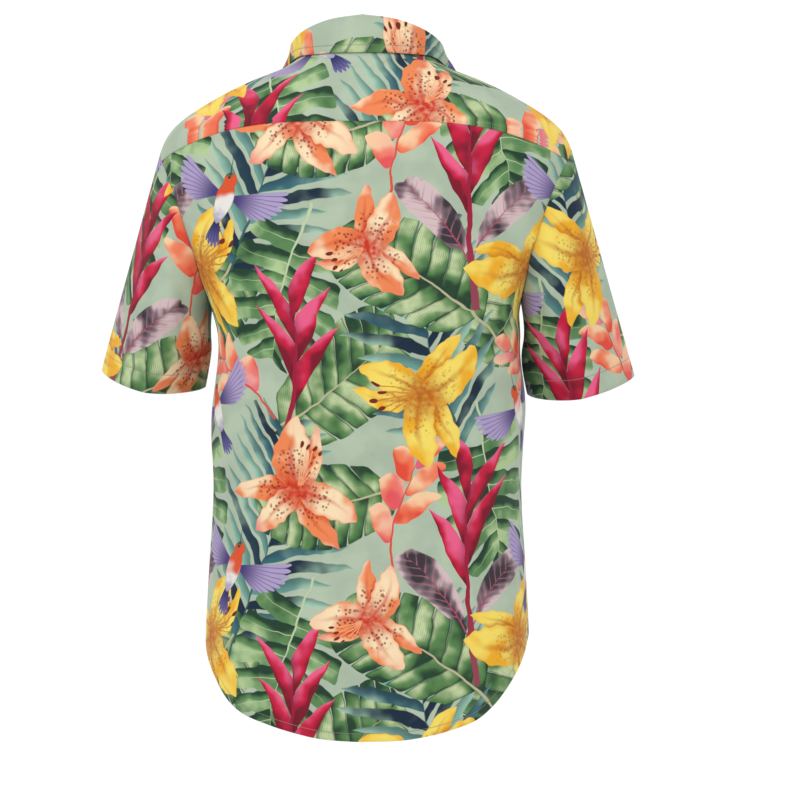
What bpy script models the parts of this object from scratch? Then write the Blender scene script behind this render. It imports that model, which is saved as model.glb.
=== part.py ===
"""Short-sleeved tropical shirt with a shirt-tail hem, worn but empty.

Metres, +Z up. The front faces -Y and the wearer's left is +X. The origin lies between the
shoulders at the height of the neck, where the wearer carries the shirt.

Every body panel is a patch of one torso form. A point of the form is given by its angle round
the body, from the wearer's left (+X) to the back (+Y), and its height. Seams and edges are
curves in those two numbers. A turn is an angle in degrees from the middle of the back.
"""

import math

import bpy
import numpy as np
from mathutils import Vector

# Cloth and sewing
CLOTH = 0.0012  # thickness of every cloth wall
SEAM_GAP = 0.0003  # between two pieces that are sewn together

# The torso form. Squareness is the exponent of a section's rounded outline: 2 is an ellipse.
SECTIONS = (
    ("height", "half_width", "front", "back", "squareness"),
    (0.026, 0.062, 0.045, 0.053, 2.0),  # nape
    (0.007, 0.073, 0.054, 0.062, 2.0),  # side of the neck
    (-0.005, 0.091, 0.060, 0.070, 2.0),
    (-0.018, 0.124, 0.067, 0.079, 2.0),
    (-0.042, 0.1715, 0.077, 0.092, 2.1),  # middle of the shoulder
    (-0.068, 0.2085, 0.087, 0.102, 2.3),
    (-0.0945, 0.2250, 0.098, 0.109, 2.3),  # shoulder tip
    (-0.130, 0.2260, 0.111, 0.116, 2.4),
    (-0.176, 0.2130, 0.124, 0.122, 2.5),  # across the back
    (-0.222, 0.1890, 0.133, 0.125, 2.6),
    (-0.262, 0.1700, 0.138, 0.125, 2.9),  # underarm
    (-0.302, 0.1650, 0.141, 0.123, 2.8),
    (-0.380, 0.172, 0.141, 0.120, 2.5),
    (-0.464, 0.169, 0.139, 0.118, 2.4),  # waist
    (-0.556, 0.174, 0.141, 0.124, 2.4),
    (-0.623, 0.1775, 0.144, 0.130, 2.4),  # hem at the side seam
    (-0.745, 0.179, 0.146, 0.133, 2.4),  # tail of the hem
)

# Hem: it arches up to the side seams. Share is how much of the tail's drop it has reached
# at an angle, in degrees, from the side seam.
SIDE_HEM = -0.623
BACK_TAIL = 0.105
FRONT_TAIL = 0.085
TAIL = (
    ("from_side", "share"),
    (0, 0.0),
    (3, 0.010),
    (8, 0.085),
    (14, 0.21),
    (24, 0.45),
    (32, 0.66),
    (38, 0.77),
    (50, 0.885),
    (66, 0.97),
    (90, 1.0),
)

# Neckline
NECKLINE = (
    ("turn", "height"),
    (0, 0.022),
    (45, 0.017),
    (90, 0.006),
    (112, -0.006),
    (135, -0.030),
    (158, -0.058),
    (180, -0.070),
)

# Armhole: an oval seen from the side. Its own turn runs from its top towards the back.
ARMHOLE_TOP = -0.0945
ARMHOLE_BOTTOM = -0.262
ARMHOLE_BACK = 0.066
ARMHOLE_FRONT = 0.070

# Yoke
YOKE_SEAM = -0.066  # height of the back seam in the middle
YOKE_SEAM_BEND = 4  # the seam stays level and bends down to the armhole with this power
YOKE_BACK_TURN = 32  # where the back seam meets the armhole
YOKE_FRONT_TURN = -30  # where the front seam meets the armhole
YOKE_FRONT_NECK = 112  # turn where the front seam meets the neckline
YOKE_BACK_NECK = 62  # turn of the neckline that faces the ends of the back seam

# Sleeve: its hem is a tilted oval, and both sleeves swing forwards and away from the body.
# The outward and rearward parts of a direction are for each unit downwards.
CUFF_CENTRE = np.array([0.2375, -0.042, -0.346])
CUFF_HALF_WIDTH = 0.0585
CUFF_HALF_DEPTH = 0.071
CUFF_OUTWARD_TILT = math.radians(8.5)
CUFF_FORWARD_TILT = math.radians(13)
CUFF_DIRECTION = np.array([0.22, -0.23, -1.0])  # in which the cloth reaches the hem
CUFF_REACH = 0.070  # how far up the cloth keeps that direction
CAP_REACH = 0.062  # how far down it keeps the one in which it leaves the armhole
CAP_OUTWARD = 0.28  # at the top of the armhole
UNDERARM_OUTWARD = 0.10
CAP_REARWARD = -0.10
CAP_SPREAD = 0.35  # more, away from the body, half-way up the armhole

# Front opening: the left front laps over the right one
LAP = 0.014  # each front runs this far past the middle
LAP_FLAT, LAP_END = 0.034, 0.066  # the left front comes down to the form between these

# Collar, by turn: the stand rises from the neckline and leans in, and the fall comes down
# outside it to its edge, which has its own turn and height. The bulge rounds the fall.
COLLAR = (
    ("turn", "rise", "lean", "edge_turn", "edge_height", "bulge"),
    (0, 0.0310, 0.0050, 0, 0.0065, 0.0015),
    (45, 0.0285, 0.0035, 46, 0.0050, 0.0015),
    (90, 0.0190, -0.0030, 90, -0.0020, 0.0005),
    (104, 0.0175, -0.0020, 102, -0.0100, 0.0015),
    (120, 0.0160, 0.0000, 116, -0.0290, 0.0040),
    (150, 0.0130, 0.0000, 138, -0.0880, 0.0045),
    (174, 0.0100, -0.0010, 152, -0.1340, 0.0045),
)
FOLD_RADIUS = 0.0024
FALL_CLEARANCE = 0.0026  # from the form to the outer face of the fall's edge
FALL_BEND = 0.45  # how far down the fall the bulge pulls
STAND_LIFT = 0.0009  # from the panels' top edge to the stand

# Buttons
BUTTON_RADIUS = 0.0057
BUTTON_THICKNESS = 0.0024
BUTTON_EDGE = 0.0006
BUTTON_COUNT = 7
TOP_BUTTON = -0.090
BUTTON_PITCH = 0.087

# How finely each piece is divided
HEM_ROWS = 10  # from the hem to the underarm
ARM_ROWS = 11  # from the underarm to the yoke, along the armhole
BACK_COLUMNS = 32
FRONT_NECK_COLUMNS = 8
YOKE_ARM_STEPS = 8
YOKE_ROWS = 8
SLEEVE_ROWS = 8
COLLAR_STEPS = 44
STAND_ROWS = 3
FOLD_ROWS = 4
FALL_ROWS = 5
FINE = 300  # points of a seam's fine drawing

CLOTH_COLOUR = (0.47, 0.58, 0.46, 1.0)
BUTTON_COLOUR = (0.80, 0.78, 0.70, 1.0)
UPWARD = np.array([0.0, 0.0, 1.0])
OTHER_SIDE = np.array([-1.0, 1.0, 1.0])
FRONT_MIDDLE = -math.pi / 2


def unit(vectors):
    return vectors / np.linalg.norm(vectors, axis=-1, keepdims=True)


def read(table, at):
    """A table's columns by name, read smoothly at values of its first column."""
    names, rows = table[0], np.array(table[1:], float)
    rows = rows[np.argsort(rows[:, 0])]
    knots, values = rows[:, 0], rows[:, 1:]
    slopes = np.gradient(values, knots, axis=0)
    at = np.clip(np.asarray(at, float), knots[0], knots[-1])
    low = np.clip(np.searchsorted(knots, at, side="right") - 1, 0, len(knots) - 2)
    span = (knots[low + 1] - knots[low])[..., None]
    t = (at - knots[low])[..., None] / span
    rise = values[low + 1] - values[low]
    leaving = slopes[low] * span - rise
    arriving = rise - slopes[low + 1] * span
    smooth = values[low] + t * rise + t * (1 - t) * ((1 - t) * leaving + t * arriving)
    return {name: smooth[..., k] for k, name in enumerate(names[1:])}


def form(angle, height):
    """Points of the torso form."""
    angle, height = np.broadcast_arrays(np.asarray(angle, float), np.asarray(height, float))
    section = read(SECTIONS, height)
    depth = np.where(np.sin(angle) < 0, section["front"], section["back"])
    across = np.abs(np.cos(angle) / section["half_width"]) ** section["squareness"]
    along = np.abs(np.sin(angle) / depth) ** section["squareness"]
    radius = (across + along) ** (-1 / section["squareness"])
    return np.stack([radius * np.cos(angle), radius * np.sin(angle), height], axis=-1)


def form_normal(angle, height):
    """Outward unit normals of the form."""
    step = 1e-4
    around = form(angle + step, height) - form(angle - step, height)
    upward = form(angle, height + step) - form(angle, height - step)
    return unit(np.cross(around, upward))


def angle_of(turn):
    return math.pi / 2 - np.radians(turn)


def neck_curve(turns):
    """Points of the neckline, as (angle, height)."""
    return np.stack([angle_of(turns), read(NECKLINE, np.abs(turns))["height"]], axis=-1)


def hem_curve(first, last):
    """The hem between two angles, as (angle, height)."""
    angles = np.linspace(first, last, FINE)
    from_side = np.degrees(np.arcsin(np.minimum(np.abs(np.sin(angles)), 1)))
    drop = read(TAIL, from_side)["share"] * np.where(np.sin(angles) > 0, BACK_TAIL, FRONT_TAIL)
    return np.stack([angles, SIDE_HEM - drop], axis=-1)


def side_seam():
    """The left side seam from the hem to the underarm, as (angle, height)."""
    heights = np.linspace(SIDE_HEM, ARMHOLE_BOTTOM, HEM_ROWS + 1)
    return np.stack([np.zeros_like(heights), heights], axis=-1)


def armhole(first, last):
    """The left armhole between two of its turns, as (angle, height)."""
    turn = np.radians(np.linspace(first, last, FINE))
    middle, half = (ARMHOLE_TOP + ARMHOLE_BOTTOM) / 2, (ARMHOLE_TOP - ARMHOLE_BOTTOM) / 2
    height = middle + half * np.cos(turn)
    y = np.sin(turn) * np.where(np.sin(turn) > 0, ARMHOLE_BACK, ARMHOLE_FRONT)
    section = read(SECTIONS, height)
    depth = np.where(y < 0, section["front"], section["back"])
    power = section["squareness"]
    x = section["half_width"] * (1 - np.abs(y / depth) ** power) ** (1 / power)
    return np.stack([np.arctan2(y, x), height], axis=-1)


def even_steps(curve, count):
    """count + 1 points at even distances along a finely drawn curve on the form."""
    points = form(curve[:, 0], curve[:, 1])
    run = np.concatenate([[0], np.cumsum(np.linalg.norm(np.diff(points, axis=0), axis=1))])
    at = np.linspace(0, run[-1], count + 1)
    return np.stack([np.interp(at, run, curve[:, k]) for k in range(2)], axis=-1)


def mirrored(curve):
    """A curve on the form, moved to the wearer's other side."""
    return np.stack([math.pi - curve[:, 0], curve[:, 1]], axis=-1)


def armhole_steps():
    """The armhole's stretches along the yoke, the back and the front, as the panels meet it."""
    yoke = even_steps(armhole(YOKE_FRONT_TURN, YOKE_BACK_TURN), YOKE_ARM_STEPS)
    back = even_steps(armhole(180, YOKE_BACK_TURN), ARM_ROWS)
    front = even_steps(armhole(180, 360 + YOKE_FRONT_TURN), ARM_ROWS)
    return yoke, back, front


def yoke_back_seam():
    """From the right armhole to the left one: level in the middle, bent down at both ends."""
    end_angle, end_height = armhole_steps()[1][-1]
    angles = np.linspace(math.pi - end_angle, end_angle, FINE)
    reach = form(angles, YOKE_SEAM)[:, 0] / form(end_angle, YOKE_SEAM)[0]
    heights = YOKE_SEAM + (end_height - YOKE_SEAM) * reach**YOKE_SEAM_BEND
    return even_steps(np.stack([angles, heights], axis=-1), BACK_COLUMNS)


def filled(bottom, top, left, right):
    """A grid of points of the form that fills four edge curves, its first row at the bottom."""
    v = np.linspace(0, 1, len(left))[:, None, None]
    u = np.linspace(0, 1, len(bottom))[None, :, None]
    ruled = (1 - v) * bottom[None] + v * top[None] + (1 - u) * left[:, None] + u * right[:, None]
    corners = (1 - v) * ((1 - u) * bottom[0] + u * bottom[-1]) + v * ((1 - u) * top[0] + u * top[-1])
    grid = ruled - corners
    return form(grid[..., 0], grid[..., 1])


def trimmed(points, gap, edges=("first row", "last row", "first column", "last column")):
    """Draws the edges of a grid inwards, along the cloth, to leave room for the seams."""
    places = {
        "first row": (np.s_[0], np.s_[1]),
        "last row": (np.s_[-1], np.s_[-2]),
        "first column": (np.s_[:, 0], np.s_[:, 1]),
        "last column": (np.s_[:, -1], np.s_[:, -2]),
    }
    moved = points.copy()
    for edge in edges:
        border, inside = (points[place] for place in places[edge])
        along = unit(np.gradient(border, axis=0))
        inward = inside - border
        inward -= (inward * along).sum(-1, keepdims=True) * along
        moved[places[edge][0]] += gap * unit(inward)
    return moved


def back_points():
    """Back: from the hem up to the yoke, between the side seams and the armholes."""
    left = np.concatenate([side_seam(), armhole_steps()[1][1:]])
    hem = even_steps(hem_curve(0, math.pi), BACK_COLUMNS)
    return filled(hem, yoke_back_seam()[::-1], left, mirrored(left))


def yoke_points():
    """Yoke: a horseshoe round the neck, from the left front seam over the back to the right one."""
    arm = armhole_steps()[0]
    outer = np.concatenate([arm, yoke_back_seam()[::-1][1:-1], mirrored(arm)[::-1]])
    left_turns = np.linspace(YOKE_FRONT_NECK, YOKE_BACK_NECK, YOKE_ARM_STEPS + 1)
    back_turns = np.linspace(YOKE_BACK_NECK, -YOKE_BACK_NECK, BACK_COLUMNS + 1)
    neck = neck_curve(np.concatenate([left_turns, back_turns[1:-1], -left_turns[::-1]]))
    v = np.linspace(0, 1, YOKE_ROWS + 1)[:, None, None]
    grid = (1 - v) * outer[None] + v * neck[None]
    return form(grid[..., 0], grid[..., 1])


def front_points():
    """Left front: from its edge past the middle to the side, rows from the hem to the top."""
    _, _, arm = armhole_steps()
    side = np.concatenate([side_seam(), arm[1:]])
    heights = np.linspace(SIDE_HEM - FRONT_TAIL, NECKLINE[-1][1], len(side))
    angles = FRONT_MIDDLE - np.arctan(LAP / read(SECTIONS, heights)["front"])
    edge = np.stack([angles, heights], axis=-1)
    neck = neck_curve(np.linspace(math.degrees(math.pi / 2 - angles[-1]), YOKE_FRONT_NECK, FINE))
    shoulder = np.linspace(neck[-1], arm[-1], YOKE_ROWS + 1)
    top = np.concatenate([even_steps(neck, FRONT_NECK_COLUMNS), shoulder[1:]])
    hem = even_steps(hem_curve(angles[0], 0), len(top) - 1)
    edge[0], edge[-1] = hem[0], top[0]
    return filled(hem, top, edge, side)


def lapped(points):
    """The left front, lifted off the right one where the two lap."""
    share = np.clip((points[..., 0] - LAP_FLAT) / (LAP_END - LAP_FLAT), 0, 1)
    lift = (CLOTH + 2 * SEAM_GAP) * (1 - share**2 * (3 - 2 * share))
    normals = unit(np.cross(np.gradient(points, axis=1), np.gradient(points, axis=0)))
    return points + lift[..., None] * normals


def sleeve_points():
    """Left sleeve: rings from the cuff to the armhole, each from its front seam over its top."""
    yoke, back, front = armhole_steps()
    ring = np.concatenate([yoke[:-1], back[::-1][:-1], front[:-1]])
    seam = form(ring[:, 0], ring[:, 1])
    away = form_normal(ring[:, 0], ring[:, 1])
    middle = (ARMHOLE_TOP + ARMHOLE_BOTTOM) / 2
    around = np.arctan2(seam[:, 1] / ARMHOLE_BACK, (seam[:, 2] - middle) / (ARMHOLE_TOP - middle))
    high, rear = np.cos(around)[:, None], np.sin(around)[:, None]

    outward = np.array([math.cos(CUFF_OUTWARD_TILT), 0, math.sin(CUFF_OUTWARD_TILT)])
    rearward = np.array([0, math.cos(CUFF_FORWARD_TILT), -math.sin(CUFF_FORWARD_TILT)])
    cuff = CUFF_CENTRE + CUFF_HALF_WIDTH * high * outward + CUFF_HALF_DEPTH * rear * rearward

    spread = UNDERARM_OUTWARD + (CAP_OUTWARD - UNDERARM_OUTWARD) * (1 + high) / 2
    leaving = spread * np.array([1.0, 0, 0]) + np.array([0, CAP_REARWARD, -1.0])
    leaving = unit(leaving + CAP_SPREAD * (1 - high**2) * away)
    first = seam + CAP_REACH * leaving
    last = cuff - CUFF_REACH * unit(CUFF_DIRECTION)
    t = np.linspace(1, 0, SLEEVE_ROWS + 1)[:, None, None]
    rings = (1 - t) ** 3 * seam + 3 * (1 - t) ** 2 * t * first + 3 * (1 - t) * t**2 * last + t**3 * cuff

    along = np.roll(seam, -1, axis=0) - np.roll(seam, 1, axis=0)
    into_hole = unit(np.cross(along, away))
    rings[-1] += SEAM_GAP * (away + into_hole)
    return rings


def collar_points():
    """Collar: columns round the neck, rows up the stand, over the fold and down the fall."""
    end = COLLAR[-1][0]
    turns = np.linspace(-end, end, COLLAR_STEPS + 1)
    shape = read(COLLAR, np.abs(turns))
    angles, neck_heights = neck_curve(turns).T
    neck = form(angles, neck_heights)
    outward = np.stack([np.cos(angles), np.sin(angles), np.zeros_like(angles)], axis=-1)
    foot = neck - CLOTH * outward + STAND_LIFT * UPWARD
    rise = (shape["rise"] - FOLD_RADIUS)[:, None]
    lean = (shape["lean"] - FOLD_RADIUS)[:, None]
    fold = neck + rise * UPWARD - lean * outward
    top = fold - FOLD_RADIUS * outward
    rows = [foot + t * (top - foot) for t in np.linspace(0, 1, STAND_ROWS + 1)]
    for bend in np.linspace(math.pi, 0, FOLD_ROWS + 1)[1:]:
        rows.append(fold + FOLD_RADIUS * (math.cos(bend) * outward + math.sin(bend) * UPWARD))

    edge_angles = angle_of(np.sign(turns) * shape["edge_turn"])
    edge_normals = form_normal(edge_angles, shape["edge_height"])
    edge = form(edge_angles, shape["edge_height"]) + FALL_CLEARANCE * edge_normals
    start = rows[-1]
    bulge = shape["bulge"][:, None] * (2 * outward + UPWARD)
    pulled = start + FALL_BEND * (edge - start) + bulge
    for t in np.linspace(0, 1, FALL_ROWS + 1)[1:]:
        rows.append((1 - t) ** 2 * start + 2 * t * (1 - t) * pulled + t**2 * edge)
    return np.array(rows)


def material(name, colour, roughness):
    made = bpy.data.materials.new(name)
    made.use_nodes = True
    shader = made.node_tree.nodes["Principled BSDF"]
    shader.inputs["Base Color"].default_value = colour
    shader.inputs["Roughness"].default_value = roughness
    shader.inputs["Metallic"].default_value = 0.0
    return made


def cloth_wall(name, points, cloth, collection, tube=False):
    """A grid of points as one piece of cloth, thickened inwards."""
    rows, columns = points.shape[:2]
    row, column = np.mgrid[: rows - 1, : columns if tube else columns - 1].reshape(2, -1)
    following = (column + 1) % columns
    corners = ((row, column), (row, following), (row + 1, following), (row + 1, column))
    faces = np.stack([r * columns + c for r, c in corners], axis=-1)
    mesh = bpy.data.meshes.new(name)
    mesh.from_pydata(points.reshape(-1, 3).tolist(), [], faces.tolist())
    mesh.materials.append(cloth)
    mesh.shade_smooth()
    piece = bpy.data.objects.new(name, mesh)
    collection.objects.link(piece)
    wall = piece.modifiers.new("cloth", "SOLIDIFY")
    wall.thickness = CLOTH
    wall.offset = -1


def button(name, height, plastic, collection):
    """A flat round button that lies on the left front, on the middle line."""
    normal = form_normal(FRONT_MIDDLE, height)
    lift = CLOTH + 3 * SEAM_GAP + BUTTON_THICKNESS / 2
    bpy.ops.mesh.primitive_cylinder_add(vertices=20, radius=BUTTON_RADIUS, depth=BUTTON_THICKNESS)
    piece = bpy.context.object
    piece.name = name
    piece.location = form(FRONT_MIDDLE, height) + lift * normal
    piece.rotation_euler = Vector(normal).to_track_quat("Z", "Y").to_euler()
    piece.data.materials.append(plastic)
    edge = piece.modifiers.new("edge", "BEVEL")
    edge.width = BUTTON_EDGE
    edge.segments = 1
    for holder in list(piece.users_collection):
        holder.objects.unlink(piece)
    collection.objects.link(piece)


def main():
    for leftover in list(bpy.data.objects):
        bpy.data.objects.remove(leftover)
    shirt = bpy.data.collections.new("hawaiian_shirt")
    bpy.context.scene.collection.children.link(shirt)
    cloth = material("printed_cloth", CLOTH_COLOUR, 0.85)
    plastic = material("button_plastic", BUTTON_COLOUR, 0.35)

    cloth_wall("back", trimmed(back_points(), SEAM_GAP / 2), cloth, shirt)
    cloth_wall("yoke", trimmed(yoke_points(), SEAM_GAP), cloth, shirt)
    front = trimmed(front_points(), SEAM_GAP / 2, ("last row", "last column"))
    cloth_wall("front_left", lapped(front), cloth, shirt)
    cloth_wall("front_right", front[:, ::-1] * OTHER_SIDE, cloth, shirt)
    sleeve = sleeve_points()
    cloth_wall("sleeve_left", sleeve, cloth, shirt, tube=True)
    cloth_wall("sleeve_right", sleeve[:, ::-1] * OTHER_SIDE, cloth, shirt, tube=True)
    cloth_wall("collar", collar_points(), cloth, shirt)
    for k in range(BUTTON_COUNT):
        button(f"button_{k + 1}", TOP_BUTTON - k * BUTTON_PITCH, plastic, shirt)


main()
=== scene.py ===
import math

import bpy
import numpy as np
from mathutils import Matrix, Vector


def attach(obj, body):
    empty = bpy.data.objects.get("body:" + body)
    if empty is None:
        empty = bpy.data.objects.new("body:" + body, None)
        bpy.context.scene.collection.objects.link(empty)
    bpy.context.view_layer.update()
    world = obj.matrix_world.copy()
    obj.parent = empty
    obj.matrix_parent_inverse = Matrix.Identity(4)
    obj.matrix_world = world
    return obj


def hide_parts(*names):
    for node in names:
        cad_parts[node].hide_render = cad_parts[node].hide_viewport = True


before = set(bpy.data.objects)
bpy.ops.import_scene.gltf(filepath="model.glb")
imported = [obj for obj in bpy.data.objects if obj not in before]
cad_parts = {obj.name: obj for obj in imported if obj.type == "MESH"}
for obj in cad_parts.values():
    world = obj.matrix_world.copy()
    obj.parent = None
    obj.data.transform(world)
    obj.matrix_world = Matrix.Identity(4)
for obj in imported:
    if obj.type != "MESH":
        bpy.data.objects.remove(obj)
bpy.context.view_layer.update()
print("frame loaded:", len(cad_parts), "nodes")

# The shirt faces -Y and the wearer's left is +X. Every panel is a patch of one torso form, whose points
# are given by an angle round the body (0 at +X, a quarter turn at the back) and a height.
torso = {
    # height, half width, front, back, squareness of the section's rounded outline (2 is an ellipse)
    "sections": (
        (0.026, 0.062, 0.045, 0.053, 2.0),
        (0.007, 0.073, 0.054, 0.062, 2.0),
        (-0.005, 0.091, 0.060, 0.070, 2.0),
        (-0.018, 0.124, 0.067, 0.079, 2.0),
        (-0.042, 0.1715, 0.077, 0.092, 2.1),
        (-0.068, 0.2085, 0.087, 0.102, 2.3),
        (-0.0945, 0.2250, 0.098, 0.109, 2.3),
        (-0.130, 0.2260, 0.111, 0.116, 2.4),
        (-0.176, 0.2130, 0.124, 0.122, 2.5),
        (-0.222, 0.1890, 0.133, 0.125, 2.6),
        (-0.262, 0.1700, 0.138, 0.125, 2.9),
        (-0.302, 0.1650, 0.141, 0.123, 2.8),
        (-0.380, 0.172, 0.141, 0.120, 2.5),
        (-0.464, 0.169, 0.139, 0.118, 2.4),
        (-0.556, 0.174, 0.141, 0.124, 2.4),
        (-0.623, 0.1775, 0.144, 0.130, 2.4),
        (-0.745, 0.179, 0.146, 0.133, 2.4),
    ),
    "sideHem": -0.623,
    "backTail": 0.105,
    "frontTail": 0.085,
    # degrees from the side seam, share of the tail's drop
    "tail": (
        (0, 0.0), (3, 0.010), (8, 0.085), (14, 0.21), (24, 0.45),
        (32, 0.66), (38, 0.77), (50, 0.885), (66, 0.97), (90, 1.0),
    ),
    # degrees from the middle of the back, height of the neckline
    "neckline": (
        (0, 0.022), (45, 0.017), (90, 0.006), (112, -0.006),
        (135, -0.030), (158, -0.058), (180, -0.070),
    ),
    "armholeTop": -0.0945,
    "armholeBottom": -0.262,
    "armholeBack": 0.066,
    "armholeFront": 0.070,
    "lean": 0.004,  # how far the body swings to the wearer's right below the arms
    "leanComes": (-0.30, -0.264),  # heights over which it comes in
    "leanGoes": (-0.42, -0.35),  # and over which it goes back to its share of the hem
    "leanLeft": 0.4,
    "unevenTail": 0.065,  # the share by which the tail is shorter on the left
    "cloth": 0.0006,  # how thick the cloth is
    "hemLayers": 2.4,  # a hem's thickness in that of the cloth
    "hemFall": (-0.001, 0.0015),  # from its stitches, where it goes back to the cloth's
    "step": 0.0034,  # size of the mesh's faces
}
panels = {
    "yokeSeam": -0.066,
    "yokeSeamBend": 4,
    "yokeSlope": 0.35,
    "yokeBackTurn": 32,
    "yokeFrontTurn": -30,
    "yokeFrontNeck": 112,
    "yokeBackNeck": 62,
    "lap": 0.014,  # how far each front runs past the middle
    "lapFlat": 0.034,  # the left front is lifted up to here
    "lapEnd": 0.066,  # and lies on the form from here on
    "lapLift": 0.0018,
    "yokeLift": 0.0004,
    "yokeLap": (0.003, 0.016),  # the yoke is lifted to the first distance from its edge, flat from the second
    "hem": 0.008,  # from the edge to the hem's stitches
    "turnedEdge": 0.028,  # and to those of the front's edge
    "held": 0.035,  # creases come in over this distance from the upper seams
}
curvePoints = 400  # of a finely drawn curve
quarter = math.pi / 2
upward = np.array([0.0, 0.0, 1.0])
otherSide = np.array([-1.0, 1.0, 1.0])


def unit(vectors):
    # each vector divided by its length
    return vectors / np.maximum(np.linalg.norm(vectors, axis=-1, keepdims=True), 1e-12)


def ease(value, low, high):
    # 0 below low, 1 above high, a smooth s-curve between
    t = np.clip((value - low) / (high - low), 0, 1)
    return t * t * (3 - 2 * t)


def read(rows, at):
    # a table read smoothly at values of its first column: cubic pieces with the rows' mean slopes
    rows = np.array(rows, float)
    rows = rows[np.argsort(rows[:, 0])]
    knots, values = rows[:, 0], rows[:, 1:]
    slopes = np.gradient(values, knots, axis=0)
    at = np.clip(np.asarray(at, float), knots[0], knots[-1])
    low = np.clip(np.searchsorted(knots, at, side="right") - 1, 0, len(knots) - 2)
    span = (knots[low + 1] - knots[low])[..., None]
    t = (at - knots[low])[..., None] / span
    rise = values[low + 1] - values[low]
    leaving = slopes[low] * span - rise
    arriving = rise - slopes[low + 1] * span
    smooth = values[low] + t * rise + t * (1 - t) * ((1 - t) * leaving + t * arriving)
    return np.moveaxis(smooth, -1, 0)


def form(angle, height):
    # radius = (|cos / half width|^n + |sin / depth|^n)^(-1/n), with the section's sizes at that height
    angle, height = np.broadcast_arrays(np.asarray(angle, float), np.asarray(height, float))
    halfWidth, front, back, power = read(torso["sections"], height)
    depth = np.where(np.sin(angle) < 0, front, back)
    across = np.abs(np.cos(angle) / halfWidth) ** power
    radius = (across + np.abs(np.sin(angle) / depth) ** power) ** (-1 / power)
    return np.stack([radius * np.cos(angle), radius * np.sin(angle), height], axis=-1)


def formNormal(angle, height):
    # the cross product of the form's slopes around and upwards
    step = 1e-4
    around = form(angle + step, height) - form(angle - step, height)
    rising = form(angle, height + step) - form(angle, height - step)
    return unit(np.cross(around, rising))


def leaning(height):
    # nothing above the underarms, all of it down to the waist and a share of it further down
    left = torso["leanLeft"]
    share = left + (1 - left) * ease(height, *torso["leanGoes"])
    return torso["lean"] * share * (1 - ease(height, *torso["leanComes"]))


def angleOf(turn):
    # degrees from the middle of the back to the form's angle
    return quarter - np.radians(turn)


def neckCurve(turns):
    # the neckline's height is read by the turn from the middle of the back
    return np.stack([angleOf(turns), read(torso["neckline"], np.abs(turns))[0]], axis=-1)


def hemCurve(first, last):
    # level at the sides, and down by a share of each tail's drop that grows with the angle from the side
    angles = np.linspace(first, last, curvePoints)
    fromSide = np.degrees(np.arcsin(np.minimum(np.abs(np.sin(angles)), 1)))
    tail = np.where(np.sin(angles) > 0, torso["backTail"], torso["frontTail"])
    leftBack = np.maximum(np.sin(2 * angles), 0) * np.maximum(np.cos(angles), 0)
    drop = read(torso["tail"], fromSide)[0] * tail * (1 - torso["unevenTail"] * leftBack)
    return np.stack([angles, torso["sideHem"] - drop], axis=-1)


def sideCurve():
    # straight up the body's side
    heights = np.linspace(torso["sideHem"], torso["armholeBottom"], curvePoints // 2)
    return np.stack([np.zeros_like(heights), heights], axis=-1)


def armholeCurve(first, last):
    # an oval seen from the side, laid on the form; its own turn runs from its top towards the back
    turn = np.radians(np.linspace(first, last, curvePoints))
    top, bottom = torso["armholeTop"], torso["armholeBottom"]
    height = (top + bottom) / 2 + (top - bottom) / 2 * np.cos(turn)
    y = np.sin(turn) * np.where(np.sin(turn) > 0, torso["armholeBack"], torso["armholeFront"])
    halfWidth, front, back, power = read(torso["sections"], height)
    x = halfWidth * (1 - np.abs(y / np.where(y < 0, front, back)) ** power) ** (1 / power)
    return np.stack([np.arctan2(y, x), height], axis=-1)


def onForm(curve):
    # the points in space of rows of angle and height
    return form(curve[..., 0], curve[..., 1])


def evenly(curve, count):
    # count + 1 points at even distances along a finely drawn curve on the form
    points = onForm(curve)
    run = np.concatenate([[0], np.cumsum(np.linalg.norm(np.diff(points, axis=0), axis=1))])
    at = np.linspace(0, run[-1], count + 1)
    return np.stack([np.interp(at, run, curve[:, k]) for k in range(2)], axis=-1)


def stepsOf(curve):
    # as many steps as the mesh's step goes into the curve's length
    return max(4, round(np.linalg.norm(np.diff(onForm(curve), axis=0), axis=1).sum() / torso["step"]))


def mirrored(curve):
    # the same rows of angle and height on the other side of the body
    return np.stack([math.pi - curve[..., 0], curve[..., 1]], axis=-1)


yokeArm = armholeCurve(panels["yokeFrontTurn"], panels["yokeBackTurn"])
backArm = armholeCurve(180, panels["yokeBackTurn"])
frontArm = armholeCurve(180, 360 + panels["yokeFrontTurn"])
sideSteps, armSteps, yokeSteps = stepsOf(sideCurve()), stepsOf(backArm), stepsOf(yokeArm)
backSteps, neckSteps, shoulderRows = 128, 34, 37
sideRows = evenly(sideCurve(), sideSteps)


def yokeBackSeam():
    # level in the middle, bent down to both armholes with a power of the distance from the middle
    endAngle, endHeight = backArm[-1]
    angles = np.linspace(math.pi - endAngle, endAngle, curvePoints)
    level = panels["yokeSeam"]
    reach = form(angles, level)[:, 0] / form(endAngle, level)[0]
    return np.stack([angles, level + (endHeight - level) * reach ** panels["yokeSeamBend"]], axis=-1)


def filled(bottom, top, left, right):
    # a patch between four edge curves: the two ruled surfaces added, less the one through the corners
    v = np.linspace(0, 1, len(left))[:, None, None]
    u = np.linspace(0, 1, len(bottom))[None, :, None]
    ruled = (1 - v) * bottom[None] + v * top[None] + (1 - u) * left[:, None] + u * right[:, None]
    return ruled - (1 - v) * ((1 - u) * bottom[0] + u * bottom[-1]) - v * ((1 - u) * top[0] + u * top[-1])


def backPatch():
    # between the hem, the yoke's seam and both sides, which run on into the armholes
    left = np.concatenate([sideRows, evenly(backArm, armSteps)[1:]])
    seam = evenly(yokeBackSeam(), backSteps)[::-1]
    return filled(evenly(hemCurve(0, math.pi), backSteps), seam, left, mirrored(left))


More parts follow.
